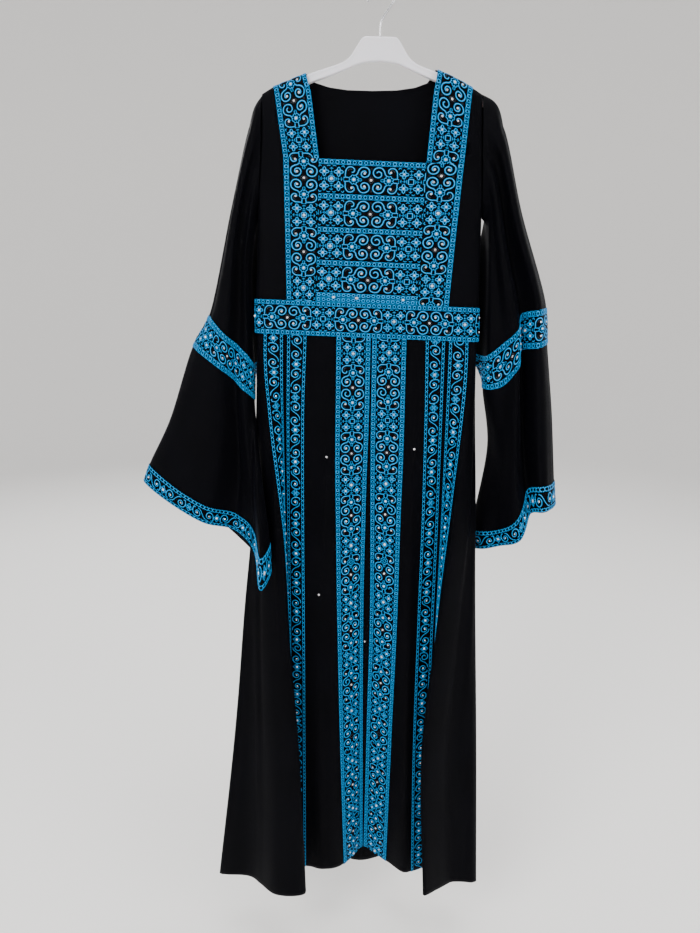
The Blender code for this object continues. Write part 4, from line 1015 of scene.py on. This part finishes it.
def embroider(target, band, rise, stone_size, kind, block_at, start=0.0, end=None,
              repeat=None, across=None):
    """Adds a chart's threads and stones to the mesh under way along part of a band.

    block_at is the place of a repeat's middle, repeat its length on the cloth, across the
    part of the chart's width (millimetres) that fills the band's width.
    """
    chart, source = chart_mesh(kind, rise)
    end = band.length if end is None else end
    repeat = chart.repeat / 1000 if repeat is None else repeat
    scale = chart.repeat / 1000 / repeat
    low, high = across if across else (-chart.width / 2, chart.width / 2)
    low, high = low / 1000, high / 1000
    first = math.floor((start - block_at) / repeat - 0.5)
    count = math.ceil((end - block_at) / repeat + 0.5) - first + 1
    holder = bpy.data.objects.new("repeat", source)
    bpy.context.scene.collection.objects.link(holder)
    array = holder.modifiers.new("Repeats", "ARRAY")
    array.use_relative_offset = False
    array.use_constant_offset = True
    array.constant_offset_displace = (0.0, chart.repeat / 1000, 0.0)
    array.count = count
    bpy.context.view_layer.update()
    shown = holder.evaluated_get(bpy.context.evaluated_depsgraph_get())
    flat = bpy.data.meshes.new_from_object(shown)
    bpy.data.objects.remove(holder)
    bm = bmesh.new()
    bm.from_mesh(flat)
    bpy.data.meshes.remove(flat)
    limits = (((start - block_at) * scale, (0, -1, 0), 1), ((end - block_at) * scale, (0, 1, 0), 1),
              (low, (-1, 0, 0), 0), (high, (1, 0, 0), 0))
    shift = -first * chart.repeat / 1000
    margin = 0.0012
    low_end = (start - block_at) * scale + margin
    high_end = (end - block_at) * scale - margin
    for value, normal, axis in limits:
        place = (0, value + shift, 0) if axis else (value, 0, 0)
        bmesh.ops.bisect_plane(bm, geom=bm.verts[:] + bm.edges[:] + bm.faces[:], dist=1e-7,
                               plane_co=place, plane_no=normal, clear_outer=True)
    for k in range(count):
        for number, (a, b, size) in enumerate(chart.stones):
            along = b / 1000 + k * chart.repeat / 1000
            if not low_end < along - shift < high_end or not low < a / 1000 < high:
                continue
            if (k * 7 + number * 5 + len(target.verts)) % CRYSTAL_SKIP == CRYSTAL_SKIPPED:
                continue
            radius = stone_size * size
            seat = (a / 1000, along, radius * CRYSTAL_DEPTH / 2 + 0.0002)
            gem = add_crystal(bm, radius, Matrix.Translation(seat))
            for face in {face for vert in gem["verts"] for face in vert.link_faces}:
                face.material_index = 2
                face.smooth = False
    bm.verts.ensure_lookup_table()
    flat_points = np.array([vert.co for vert in bm.verts])
    share = (flat_points[:, 0] - low) / (high - low)
    along = (flat_points[:, 1] - shift) / scale + block_at
    placed = band.place(share, along, flat_points[:, 2])
    for vert, point in zip(bm.verts, placed):
        vert.co = point
    probe = band.place(np.array([0.4, 0.6, 0.4]), np.array([0.4, 0.4, 0.6]) * band.length,
                       np.zeros(3))
    out = band.place(np.array([0.5]), np.array([0.5 * band.length]), np.array([1.0]))[0]
    base = band.place(np.array([0.5]), np.array([0.5 * band.length]), np.array([0.0]))[0]
    if np.dot(np.cross(probe[1] - probe[0], probe[2] - probe[0]), out - base) < 0:
        bmesh.ops.reverse_faces(bm, faces=bm.faces)
    part = mesh_from(bm, "part")
    target.from_mesh(part)
    bpy.data.meshes.remove(part)


def thread_piece(name, band, runs):
    """A piece of embroidery; each run holds embroider's arguments for a stretch of the band."""
    sizes = bpy.context.scene.dress_sizes
    bm = bmesh.new()
    bm.loops.layers.uv.new("Thread")
    for run in runs:
        embroider(bm, band, sizes.thread_rise, sizes.stone, **run)
    mesh = mesh_from(bm, name)
    for material in ("blue_thread", "grey_thread", "cut_crystal"):
        mesh.materials.append(bpy.data.materials[material])
    return add_piece(name, mesh)


def trim(node_name, band, *runs, rests_on):
    """A trim that stands for a node: its ground of black cloth and the embroidery on it."""
    ground = band.ground
    closed = bool(np.allclose(ground[:, 0], ground[:, -1]))
    material = bpy.data.materials["trim_ground"]
    piece = cloth(f"{node_name}_ground", ground, TRIM_WALL, material, closed=closed)
    thread = thread_piece(f"{node_name}_embroidery", band, runs)
    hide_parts(node_name)


# ---------------------------------------------------------------- materials
def socket(group, name, kind, output=False, default=None):
    """Adds a socket to a node group."""
    made = group.interface.new_socket(name=name, in_out="OUTPUT" if output else "INPUT",
                                      socket_type=kind)
    if default is not None:
        made.default_value = default
    return made


def node(tree, kind, **settings):
    """Adds a node with inputs set by name or number and other settings as properties."""
    made = tree.nodes.new(kind)
    for key, value in settings.items():
        if key == "inputs":
            for name, content in value.items():
                made.inputs[name].default_value = content
        else:
            setattr(made, key, value)
    return made


def pattern_group(name, shade_and_tone, pitch, period):
    """A new node group: its vector over its pitch, to be made into a height and a colour that is
    partly painted shade and partly random tone.
    """
    group = bpy.data.node_groups.new(name, "ShaderNodeTree")
    socket(group, "Vector", "NodeSocketVector")
    socket(group, "Pitch", "NodeSocketFloat", default=pitch)
    socket(group, "Height", "NodeSocketFloat", output=True)
    socket(group, shade_and_tone, "NodeSocketFloat", output=True)
    entry = node(group, "NodeGroupInput")
    leave = node(group, "NodeGroupOutput")
    scale = node(group, "ShaderNodeMath", operation="DIVIDE", inputs={0: period})
    group.links.new(entry.outputs["Pitch"], scale.inputs[1])
    moved = node(group, "ShaderNodeVectorMath", operation="SCALE")
    group.links.new(entry.outputs["Vector"], moved.inputs[0])
    group.links.new(scale.outputs[0], moved.inputs["Scale"])
    return group, entry, leave, moved


def grain_group():
    """Crepe grain: a fine crossed weave with small pebbles, as height, and a shade output that
    mixes painted shade (darker in the pebbles' hollows) with broad random tone.
    """
    if "crepe_grain" in bpy.data.node_groups:
        return bpy.data.node_groups["crepe_grain"]
    group, entry, leave, moved = pattern_group("crepe_grain", "Shade", 0.001, 1.0)
    link = group.links.new
    pebble = node(group, "ShaderNodeTexNoise",
                  inputs={"Scale": 1.0, "Detail": 3.0, "Roughness": 0.6})
    link(moved.outputs[0], pebble.inputs["Vector"])
    cross = node(group, "ShaderNodeMath", operation="ADD")
    for number, direction in enumerate("XY"):
        weave = node(group, "ShaderNodeTexWave", wave_type="BANDS", bands_direction=direction,
                     inputs={"Scale": 0.7, "Distortion": 2.5, "Detail": 1.0})
        link(moved.outputs[0], weave.inputs["Vector"])
        link(weave.outputs["Fac"], cross.inputs[number])
    half = node(group, "ShaderNodeMath", operation="MULTIPLY_ADD", inputs={1: 0.25})
    link(cross.outputs[0], half.inputs[0])
    link(pebble.outputs["Fac"], half.inputs[2])
    link(half.outputs[0], leave.inputs["Height"])
    broad = node(group, "ShaderNodeTexNoise", inputs={"Scale": 9.0, "Detail": 2.0})
    link(entry.outputs["Vector"], broad.inputs["Vector"])
    # painted shade: the pebbles that raise the grain also darken its colour in their hollows; the
    # broad noise is random tone
    mix = node(group, "ShaderNodeMath", operation="MULTIPLY_ADD", inputs={1: 0.5})
    link(pebble.outputs["Fac"], mix.inputs[0])
    link(broad.outputs["Fac"], mix.inputs[2])
    link(mix.outputs[0], leave.inputs["Shade"])
    return group


def stitch_group():
    """Satin stitches: slanting ridges across the thread, as height, and a tone that mixes painted
    shade (darker in the grooves between the ridges) with random tone.
    """
    if "satin_stitches" in bpy.data.node_groups:
        return bpy.data.node_groups["satin_stitches"]
    group, entry, leave, moved = pattern_group("satin_stitches", "Tone", 0.0006, 0.32)
    link = group.links.new
    rows = node(group, "ShaderNodeTexWave", wave_type="BANDS", bands_direction="DIAGONAL",
                inputs={"Scale": 1.0, "Distortion": 1.2, "Detail": 1.0, "Detail Scale": 0.6})
    link(moved.outputs[0], rows.inputs["Vector"])
    link(rows.outputs["Fac"], leave.inputs["Height"])
    broad = node(group, "ShaderNodeTexNoise", inputs={"Scale": 160.0, "Detail": 2.0})
    link(entry.outputs["Vector"], broad.inputs["Vector"])
    # painted shade: the ridges that raise the stitches also darken the colour in the grooves
    # between them; the broad noise adds random tone
    mix = node(group, "ShaderNodeMath", operation="MULTIPLY_ADD", inputs={1: 0.45})
    link(rows.outputs["Fac"], mix.inputs[0])
    link(broad.outputs["Fac"], mix.inputs[2])
    link(mix.outputs[0], leave.inputs["Tone"])
    return group


def new_material(name):
    """An empty material, its tree, its shader and a function that links sockets."""
    material = bpy.data.materials.new(name)
    material.use_nodes = True
    tree = material.node_tree
    return material, tree, tree.nodes["Principled BSDF"], tree.links.new


def two_tones(tree, factor, dark, light, low=0.0, high=1.0):
    """A colour ramp from dark to light, driven by a factor."""
    ramp = node(tree, "ShaderNodeValToRGB")
    ramp.color_ramp.elements[0].position = low
    ramp.color_ramp.elements[1].position = high
    ramp.color_ramp.elements[0].color = (*dark, 1.0)
    ramp.color_ramp.elements[1].color = (*light, 1.0)
    tree.links.new(factor, ramp.inputs["Fac"])
    return ramp.outputs["Color"]


def settle(shader, **values):
    """Sets a shader's inputs, named with underscores for spaces."""
    for name, value in values.items():
        shader.inputs[name.replace("_", " ")].default_value = value


def fibre_material(name, uv_map, group, shade_and_tone, pitch, tones, limits, strength, depth):
    """A material coloured and raised by a node group read along a UV map; gives its shader."""
    tree, shader, link = new_material(name)[1:]
    uv = node(tree, "ShaderNodeUVMap", uv_map=uv_map)
    fibres = node(tree, "ShaderNodeGroup", node_tree=group, inputs={"Pitch": pitch})
    link(uv.outputs["UV"], fibres.inputs["Vector"])
    # the ramp paints shade where the pattern is low, mixed with the pattern's random tone
    link(two_tones(tree, fibres.outputs[shade_and_tone], *tones, *limits), shader.inputs["Base Color"])
    bump = node(tree, "ShaderNodeBump", inputs={"Strength": strength, "Distance": depth})
    link(fibres.outputs["Height"], bump.inputs["Height"])
    link(bump.outputs["Normal"], shader.inputs["Normal"])
    return shader


def crepe_material(name, colour, pitch, depth, sheen):
    """Matt black crepe."""
    # darker and lighter copies of the black: partly painted shade in the grain's hollows, partly
    # random tone
    tones = [tuple(share * c for c in colour) for share in (0.72, 1.45)]
    shader = fibre_material(name, "Cloth", grain_group(), "Shade", pitch, tones, (0.45, 1.0),
                            0.35, depth)
    settle(shader, Roughness=0.58, Specular_IOR_Level=0.035, Sheen_Weight=sheen,
           Sheen_Roughness=0.45, Sheen_Tint=(0.66, 0.68, 0.95, 1.0))


def thread_material(name, dark, light, pitch):
    """Satin-stitched thread; its dark colour is painted shade in the grooves between stitches."""
    shader = fibre_material(name, "Thread", stitch_group(), "Tone", pitch, (dark, light),
                            (0.35, 0.85), 0.5, 0.0002)
    settle(shader, Roughness=0.40, Specular_IOR_Level=0.22,
           Specular_Tint=(0.55, 0.88, 1.0, 1.0))


def clouded_material(name, colour, dark, scale, detail, low=0.0, high=1.0):
    """A material whose colour wavers with a noise; dark is its darkest share of the colour."""
    material, tree, shader, link = new_material(name)
    place = node(tree, "ShaderNodeTexCoord")
    cloud = node(tree, "ShaderNodeTexNoise", inputs={"Scale": scale, "Detail": detail})
    link(place.outputs["Object"], cloud.inputs["Vector"])
    colour = tuple(colour)
    link(two_tones(tree, cloud.outputs["Fac"], tuple(dark * c for c in colour), colour, low, high),
         shader.inputs["Base Color"])
    return material, tree, shader, place, cloud


def make_materials(sizes, colours):
    """All materials of the dress and hanger."""
    crepe_material("black_crepe_cloth", tuple(colours.cloth), sizes.weave, 0.0004, 0.008)
    crepe_material("trim_ground", tuple(0.9 * c for c in colours.cloth), sizes.weave * 1.3,
                   0.0003, 0.003)
    thread_material("blue_thread", tuple(colours.thread_groove_shade), tuple(colours.thread),
                    sizes.stitch)
    grey = tuple(colours.grey)
    # painted shade: 0.6 of the grey is the grey thread's colour in the grooves between stitches
    thread_material("grey_thread", tuple(0.6 * c for c in grey), grey, sizes.stitch)
    shader = clouded_material("cut_crystal", colours.stone, 0.45, 420.0, 1.0, 0.35, 0.6)[2]
    settle(shader, Metallic=0.30, Roughness=0.12, Coat_Weight=0.8)
    tree, shader, place = clouded_material("gloss_white_plastic", colours.plastic, 0.93,
                                           22.0, 4.0)[1:4]
    link = tree.links.new
    pores = node(tree, "ShaderNodeTexNoise", inputs={"Scale": 900.0, "Detail": 2.0})
    link(place.outputs["Object"], pores.inputs["Vector"])
    bump = node(tree, "ShaderNodeBump", inputs={"Strength": 0.12, "Distance": 0.0001})
    link(pores.outputs["Fac"], bump.inputs["Height"])
    link(bump.outputs["Normal"], shader.inputs["Normal"])
    settle(shader, Roughness=0.30, Subsurface_Weight=0.05, Coat_Weight=0.25)
    wire = clouded_material("plated_wire", colours.steel, 0.8, 260.0, 3.0)
    tree, shader, drawn = wire[1], wire[2], wire[4]
    rough = node(tree, "ShaderNodeMapRange", inputs={"To Min": 0.16, "To Max": 0.34})
    tree.links.new(drawn.outputs["Fac"], rough.inputs["Value"])
    tree.links.new(rough.outputs["Result"], shader.inputs["Roughness"])
    settle(shader, Metallic=1.0)


# ---------------------------------------------------------------- operators
def panel(node_name, grid, closed=False, cut=None, area=None):
    """A panel of black cloth that stands for a node."""
    sizes = bpy.context.scene.dress_sizes
    material = bpy.data.materials["black_crepe_cloth"]
    piece = cloth(f"{node_name}_cloth", grid, sizes.wall, material, closed=closed, cut=cut)
    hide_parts(node_name)
    wide, long, measured = cloth_size(grid)
    measured = area if area is not None else min(measured, wide * long)


class DRESS_OT_materials(bpy.types.Operator):
    """Makes the cloth, thread, crystal, plastic and wire materials"""

    bl_idname = "dress.materials"
    bl_label = "Materials"

    def execute(self, context):
        make_materials(context.scene.dress_sizes, context.scene.dress_colours)
        return {"FINISHED"}


class DRESS_OT_hanger(bpy.types.Operator):
    """Models the white plastic hanger and its wire hook"""

    bl_idname = "dress.hanger"
    bl_label = "Hanger"

    def execute(self, context):
        stations = np.concatenate([np.linspace(0, 0.062, 22), np.linspace(0.062, 0.176, 26)[1:]])
        stations = np.concatenate([-stations[:0:-1], stations])
        sides = 28
        angles = np.arange(sides + 1) * 2 * np.pi / sides
        rows = []
        keys = [row[0] for row in HANGER]
        columns = np.array([row[1:] for row in HANGER]).T
        for x in stations:
            top, bottom, depth = smooth_along(keys, columns, abs(x))
            middle, half = (top + bottom) / 2, (top - bottom) / 2
            flat = float(np.clip(1 - abs(x) / 0.055, 0, 1))
            power = 0.62 - 0.30 * min(1.0, flat * 2)
            rise = np.sign(np.sin(angles)) * np.abs(np.sin(angles)) ** power
            out = np.sign(np.cos(angles)) * np.abs(np.cos(angles)) ** power
            # the faces are let in between a rim along the upper and the lower edge
            inset = 0.28 * np.clip(1.15 - np.abs(rise) * 1.35, 0, 1) ** 0.6
            inset = inset * np.clip((0.150 - abs(x)) / 0.02, 0, 1)
            ring = np.stack([np.full(sides + 1, x), depth * out * (1 - inset),
                             middle + half * rise - HANGER_TILT * x], 1)
            rows.append(ring)
        grid = np.array(rows)
        bm = bmesh.new()
        bmesh.ops.create_grid(bm, x_segments=sides, y_segments=len(rows) - 1, size=1.0)
        bm.verts.ensure_lookup_table()
        for index, vert in enumerate(bm.verts):
            vert.co = Vector(grid[index // (sides + 1), index % (sides + 1)])
        bmesh.ops.remove_doubles(bm, verts=bm.verts, dist=0.00001)
        bmesh.ops.holes_fill(bm, edges=bm.edges, sides=0)
        bmesh.ops.recalc_face_normals(bm, faces=bm.faces)
        mesh = mesh_from(bm, "hanger_plastic")
        mesh.shade_smooth()
        mesh.materials.append(bpy.data.materials["gloss_white_plastic"])
        piece = add_piece("hanger_plastic", mesh)
        smooth = piece.modifiers.new("Round", "SUBSURF")
        smooth.levels = smooth.render_levels = 1
        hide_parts("hanger_body")
        ring = HOOK_RADIUS + HOOK_WIRE
        knots = [(0.0, HOOK_FOOT), (0.0, -0.0640), (0.0010, -0.0560), (0.0055, -0.0478)]
        for degrees in range(-42, 201, 11):
            angle = math.radians(degrees)
            knots.append((ring * math.cos(angle), -HOOK_RADIUS + ring * math.sin(angle)))
        line = through(*knots, steps=4)
        curve = bpy.data.curves.new("hook_wire", "CURVE")
        curve.dimensions = "3D"
        curve.bevel_depth = HOOK_WIRE
        curve.bevel_resolution = 5
        curve.use_fill_caps = True
        spline = curve.splines.new("POLY")
        spline.points.add(len(line) - 1)
        for point, (x, z) in zip(spline.points, line):
            point.co = (x, 0.0, z, 1.0)
        curve.materials.append(bpy.data.materials["plated_wire"])
        hook = add_piece("hook_wire", curve)
        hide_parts("hanger_hook")
        return {"FINISHED"}


class DRESS_OT_bodice(bpy.types.Operator):
    """Cuts the front and back bodice and sews on the straps and chest rows"""

    bl_idname = "dress.bodice"
    bl_label = "Bodice"

    def execute(self, context):
        grid, neck_row, row_of = bodice_front()
        columns = [FRONT_EDGE]
        for count in FRONT_DIVISIONS:
            columns.append(columns[-1] + count)
        left_outer, left_inner, right_inner, right_outer = columns[1:5]
        hole = grid[:neck_row + 1, left_inner:right_inner + 1]
        area = cloth_size(grid)[2] - cloth_size(hole)[2]
        wide, long = cloth_size(grid)[:2]
        panel("bodice_front", grid, cut=(0, neck_row, left_inner, right_inner),
              area=max(area, 0.31 * wide * long))
        panel("bodice_back", bodice_back()[:, ::-1])
        low_row = row_of[round(CHEST_ROWS[-1], 4)]
        for side, first, last in (("left", left_outer, left_inner),
                                  ("right", right_inner, right_outer)):
            band = Band(grid, (2, low_row), (first, last))
            neck_drop = float(band.along[neck_row - 2])
            inner = (-29.0, 21.4) if side == "left" else (-21.4, 29.0)
            trim(f"strap_{side}", band, {"kind": "wide", "block_at": 0.096, "end": neck_drop},
                 {"kind": f"wide_{side}", "block_at": 0.096, "start": neck_drop,
                  "across": inner}, rests_on=["bodice_front_cloth"])
        for number in range(4):
            rows = (row_of[round(CHEST_ROWS[number], 4)], row_of[round(CHEST_ROWS[number + 1], 4)])
            band = Band(grid, rows, (left_inner, right_inner), lengthwise=False)
            trim(f"chest_row_{number + 1}", band,
                 {"kind": "wide_left", "block_at": 0.021, "repeat": 0.131,
                  "across": (-29.5, 21.8)}, rests_on=["bodice_front_cloth"])
        rows = (row_of[round(CHEST_ROWS[4], 4)], low_row)
        band = Band(grid, rows, (left_inner, right_inner), lengthwise=False)
        trim("chest_border", band, {"kind": "border", "block_at": 0.03},
             rests_on=["bodice_front_cloth"])
        return {"FINISHED"}


class DRESS_OT_waistband(bpy.types.Operator):
    """Sews the wide band round the waist"""

    bl_idname = "dress.waistband"
    bl_label = "Waistband"

    def execute(self, context):
        columns = 260
        rows = []
        for z in np.linspace(BAND_TOP, BAND_BOTTOM, 11):
            half, front, back = between(BODICE, max(z, WAIST_Z))[:3]
            row = []
            for k in range(columns * 8 + 1):
                angle = np.pi + 2 * np.pi * k / (columns * 8)
                x = WAIST_X + half * np.sign(np.cos(angle)) * abs(np.cos(angle)) ** (2 / FLATNESS)
                depth = front if np.sin(angle) < 0 else back
                y = depth * np.sign(np.sin(angle)) * abs(np.sin(angle)) ** (2 / FLATNESS)
                row.append((x, y, z))
            row = np.array(row)
            along = lengths_along(row)
            even = np.linspace(0, along[-1], columns + 1)
            rows.append(np.stack([np.interp(even, along, row[:, k]) for k in range(3)], 1))
        grid = tilted(rows)
        grid = grid + grid_normals(grid, True) * TRIM_LIFT
        band = Band(grid, (0, len(rows) - 1), (0, columns), lengthwise=False, closed=True)
        trim("waist_band", band,
             {"kind": "wide", "block_at": 0.019, "repeat": band.length / 7},
             rests_on=["bodice_front_cloth", "skirt_front_cloth"])
        return {"FINISHED"}


class DRESS_OT_skirt(bpy.types.Operator):
    """Cuts the skirt's panels and sews on the wide and narrow strips"""

    bl_idname = "dress.skirt"
    bl_label = "Skirt"

    def execute(self, context):
        skirt = Skirt()
        wide, narrow, clear = WIDE_TRIM, NARROW_TRIM, VALLEY_CLEAR
        marks = (("valley_l", 0.0, 0), ("valley_l", clear, 0), ("valley_l", clear + narrow, 0),
                 ("middle", -wide, -0.5), ("middle", 0.0, -0.5), ("middle", 0.0, 0.5),
                 ("middle", wide, 0.5), ("valley_r", -clear - narrow, 0),
                 ("valley_r", -clear, 0), ("valley_r", 0.0, 0))
        divisions = (2, 8, 12, 14, 3, 14, 12, 8, 2)
        front = skirt.grid(marks, divisions)
        panel("skirt_front", front)
        columns = np.concatenate([[0], np.cumsum(divisions)])
        left_marks = (("seam_l", 0.0, 0), ("side_l", 0.0, 0), ("bulge_l", 0.0, 0),
                      ("valley_l", -clear - narrow, 0), ("valley_l", -clear, 0),
                      ("valley_l", 0.0, 0))
        left = skirt.grid(left_marks, (5, 20, 16, 9, 2))
        panel("skirt_gore_left", left)
        right_marks = (("valley_r", 0.0, 0), ("valley_r", clear, 0),
                       ("valley_r", clear + narrow, 0), ("bulge_r", 0.0, 0),
                       ("side_r", 0.0, 0), ("seam_r", 0.0, 0))
        right = skirt.grid(right_marks, (2, 9, 16, 20, 5))
        panel("skirt_gore_right", right)
        back = skirt.grid((("seam_r", 0.0, 0), ("end", 0.0, 0)), (96,))
        panel("skirt_back", back)
        hem = len(skirt.drops) - 1
        top = 4
        strips = (
            ("side_strip_inner_left", front, 1, 2, "narrow", 0.021),
            ("centre_strip_left", front, 3, 4, "wide", 0.028),
            ("centre_strip_right", front, 5, 6, "wide", 0.024),
            ("side_strip_inner_right", front, 7, 8, "narrow", 0.030),
        )
        for name, grid, first, last, kind, block in strips:
            band = Band(grid, (top, hem), (columns[first], columns[last]))
            trim(name, band, {"kind": kind, "block_at": block}, rests_on=["skirt_front_cloth"])
        for name, grid, span, block in (("side_strip_outer_left", left, (41, 50), 0.036),
                                        ("side_strip_outer_right", right, (2, 11), 0.012)):
            band = Band(grid, (top, hem), span)
            under = name.replace("side_strip_outer", "skirt_gore") + "_cloth"
            trim(name, band, {"kind": "narrow", "block_at": block}, rests_on=[under])
        return {"FINISHED"}


class DRESS_OT_stones(bpy.types.Operator):
    """Sews single crystals on the plain cloth of the skirt's front"""

    bl_idname = "dress.stones"
    bl_label = "Loose crystals"

    def execute(self, context):
        radius = context.scene.dress_sizes.stone * 1.1
        cloth_piece = bpy.data.objects["skirt_front_cloth"]
        depsgraph = context.evaluated_depsgraph_get()
        shown = cloth_piece.evaluated_get(depsgraph)
        bm = bmesh.new()
        for x, z in LOOSE_STONES:
            hit = shown.ray_cast(Vector((x, -1.0, z)), Vector((0, 1, 0)))
            found, place, normal = hit[:3]
            if not found:
                raise RuntimeError("a loose crystal missed the skirt")
            turn = Vector(normal).to_track_quat("Z", "Y").to_matrix().to_4x4()
            seat = Vector(place) + Vector(normal) * (radius * CRYSTAL_DEPTH / 2 + 0.0001)
            add_crystal(bm, radius, Matrix.Translation(seat) @ turn)
        mesh = mesh_from(bm, "loose_crystals")
        mesh.materials.append(bpy.data.materials["cut_crystal"])
        add_piece("loose_crystals", mesh)
        return {"FINISHED"}


class DRESS_OT_sleeves(bpy.types.Operator):
    """Cuts the upper sleeves and bell flares and sews on their bands and hem trims"""

    bl_idname = "dress.sleeves"
    bl_label = "Sleeves"

    def execute(self, context):
        for side, folds, cap in SLEEVES:
            rings = np.concatenate([np.linspace(0, 1, 13), np.linspace(1, 3.5, 46)[1:]])
            panel(f"sleeve_upper_{side}", sleeve_grid(side, folds, cap, rings), closed=True)
            rings = np.concatenate([np.linspace(3.5, 6, 50), np.linspace(6, 7, 7)[1:]])
            panel(f"sleeve_flare_{side}", sleeve_grid(side, folds, cap, rings), closed=True)
            for name, first, last, kind, count in ((f"sleeve_band_{side}", 3, 4, "wide", 12),
                                                   (f"sleeve_hem_{side}", 6, 7, "hem", 7)):
                grid = sleeve_grid(side, folds, cap, np.linspace(first, last, count))
                band = Band(grid, (0, count - 1), (0, grid.shape[1] - 1), lengthwise=False,
                            closed=True)
                long = 0.113 if kind == "wide" else 0.1164
                repeat = band.length / max(1, round(band.length / long))
                part = "upper" if kind == "wide" else "flare"
                trim(name, band, {"kind": kind, "block_at": 0.03, "repeat": repeat},
                     rests_on=[f"sleeve_{part}_{side}_cloth"])
        return {"FINISHED"}


class DRESS_OT_stage(bpy.types.Operator):
    """Sets the pale floor, soft lights and the camera"""

    bl_idname = "dress.stage"
    bl_label = "Stage"

    def execute(self, context):
        colours = context.scene.dress_colours
        bm = bmesh.new()
        profile = [(0.0, -1.80), (5.0, -1.80)]
        for degrees in range(6, 91, 6):
            angle = math.radians(degrees)
            profile.append((5.0 + 3.0 * math.sin(angle), 1.20 - 3.0 * math.cos(angle)))
        profile.append((8.0, 7.0))
        verts = [bm.verts.new((x, 0, z)) for x, z in profile]
        edges = [bm.edges.new(pair) for pair in zip(verts, verts[1:])]
        bmesh.ops.spin(bm, geom=verts + edges, cent=(0, 0, 0), axis=(0, 0, 1),
                       angle=2 * math.pi, steps=64, use_merge=True)
        bmesh.ops.remove_doubles(bm, verts=bm.verts, dist=0.0001)
        bmesh.ops.recalc_face_normals(bm, faces=bm.faces)
        if sum(face.normal.z * face.calc_area() for face in bm.faces) < 0:
            bmesh.ops.reverse_faces(bm, faces=bm.faces)
        mesh = mesh_from(bm, "studio_floor")
        mesh.shade_smooth()
        floor = clouded_material("pale_floor", colours.floor, 0.97, 0.6, 3.0)
        settle(floor[2], Roughness=0.9, Specular_IOR_Level=0.1)
        mesh.materials.append(floor[0])
        ground = bpy.data.objects.new("studio_floor", mesh)
        context.scene.collection.objects.link(ground)
        middle = Vector((-0.02, 0.0, -0.80))
        for name, place, size, power in (
                ("key", (-1.7, -2.6, 0.9), 1.8, 95.0), ("fill", (2.4, -2.2, 0.2), 2.2, 38.0),
                ("top", (0.2, -0.6, 2.6), 2.2, 70.0), ("back", (-1.4, 3.0, 1.0), 2.2, 60.0),
                ("side", (3.0, 1.4, 0.4), 1.8, 34.0)):
            light = bpy.data.lights.new(name, "AREA")
            light.shape = "DISK"
            light.size = size
            light.energy = power
            lamp = bpy.data.objects.new(name, light)
            lamp.location = place
            lamp.rotation_euler = (middle - Vector(place)).to_track_quat("-Z", "Y").to_euler()
            lamp.visible_camera = False
            context.scene.collection.objects.link(lamp)
        world = bpy.data.worlds.new("studio")
        world.use_nodes = True
        background = world.node_tree.nodes["Background"]
        background.inputs["Color"].default_value = (0.95, 0.96, 1.0, 1.0)
        background.inputs["Strength"].default_value = 0.75
        context.scene.world = world
        lens = bpy.data.cameras.new("camera")
        lens.lens = 27.70
        lens.sensor_width = 36.0
        lens.clip_start = 0.05
        camera = bpy.data.objects.new("camera", lens)
        camera.location = (-0.0444, -1.27, -0.4873)
        turn = Matrix.Rotation(math.radians(77.0), 4, "X")
        turn = turn @ Matrix.Rotation(math.radians(0.32), 4, "Z")
        camera.rotation_euler = turn.to_euler()
        context.scene.collection.objects.link(camera)
        context.scene.camera = camera
        return {"FINISHED"}


class DRESS_PT_panel(bpy.types.Panel):
    """Lists the dress's settings and pieces"""

    bl_idname = "DRESS_PT_panel"
    bl_label = "Dress on a hanger"
    bl_space_type = "VIEW_3D"
    bl_region_type = "UI"
    bl_category = "Dress"

    def draw(self, context):
        for settings in (context.scene.dress_sizes, context.scene.dress_colours):
            box = self.layout.box()
            for name in settings.__annotations__:
                box.prop(settings, name)
        for operator in OPERATORS:
            self.layout.operator(operator.bl_idname)


OPERATORS = (DRESS_OT_materials, DRESS_OT_hanger, DRESS_OT_bodice, DRESS_OT_waistband,
             DRESS_OT_skirt, DRESS_OT_stones, DRESS_OT_sleeves, DRESS_OT_stage)
CLASSES = (DressSizes, DressColours) + OPERATORS + (DRESS_PT_panel,)


def register():
    for item in CLASSES:
        bpy.utils.register_class(item)
    bpy.types.Scene.dress_sizes = PointerProperty(type=DressSizes)
    bpy.types.Scene.dress_colours = PointerProperty(type=DressColours)


def unregister():
    del bpy.types.Scene.dress_colours
    del bpy.types.Scene.dress_sizes
    for item in reversed(CLASSES):
        bpy.utils.unregister_class(item)


def main():
    """Builds everything."""
    register()
    bpy.ops.dress.materials()
    bpy.ops.dress.hanger()
    bpy.ops.dress.bodice()
    bpy.ops.dress.waistband()
    bpy.ops.dress.skirt()
    bpy.ops.dress.stones()
    bpy.ops.dress.sleeves()
    bpy.ops.dress.stage()


if __name__ == "__main__":
    main()
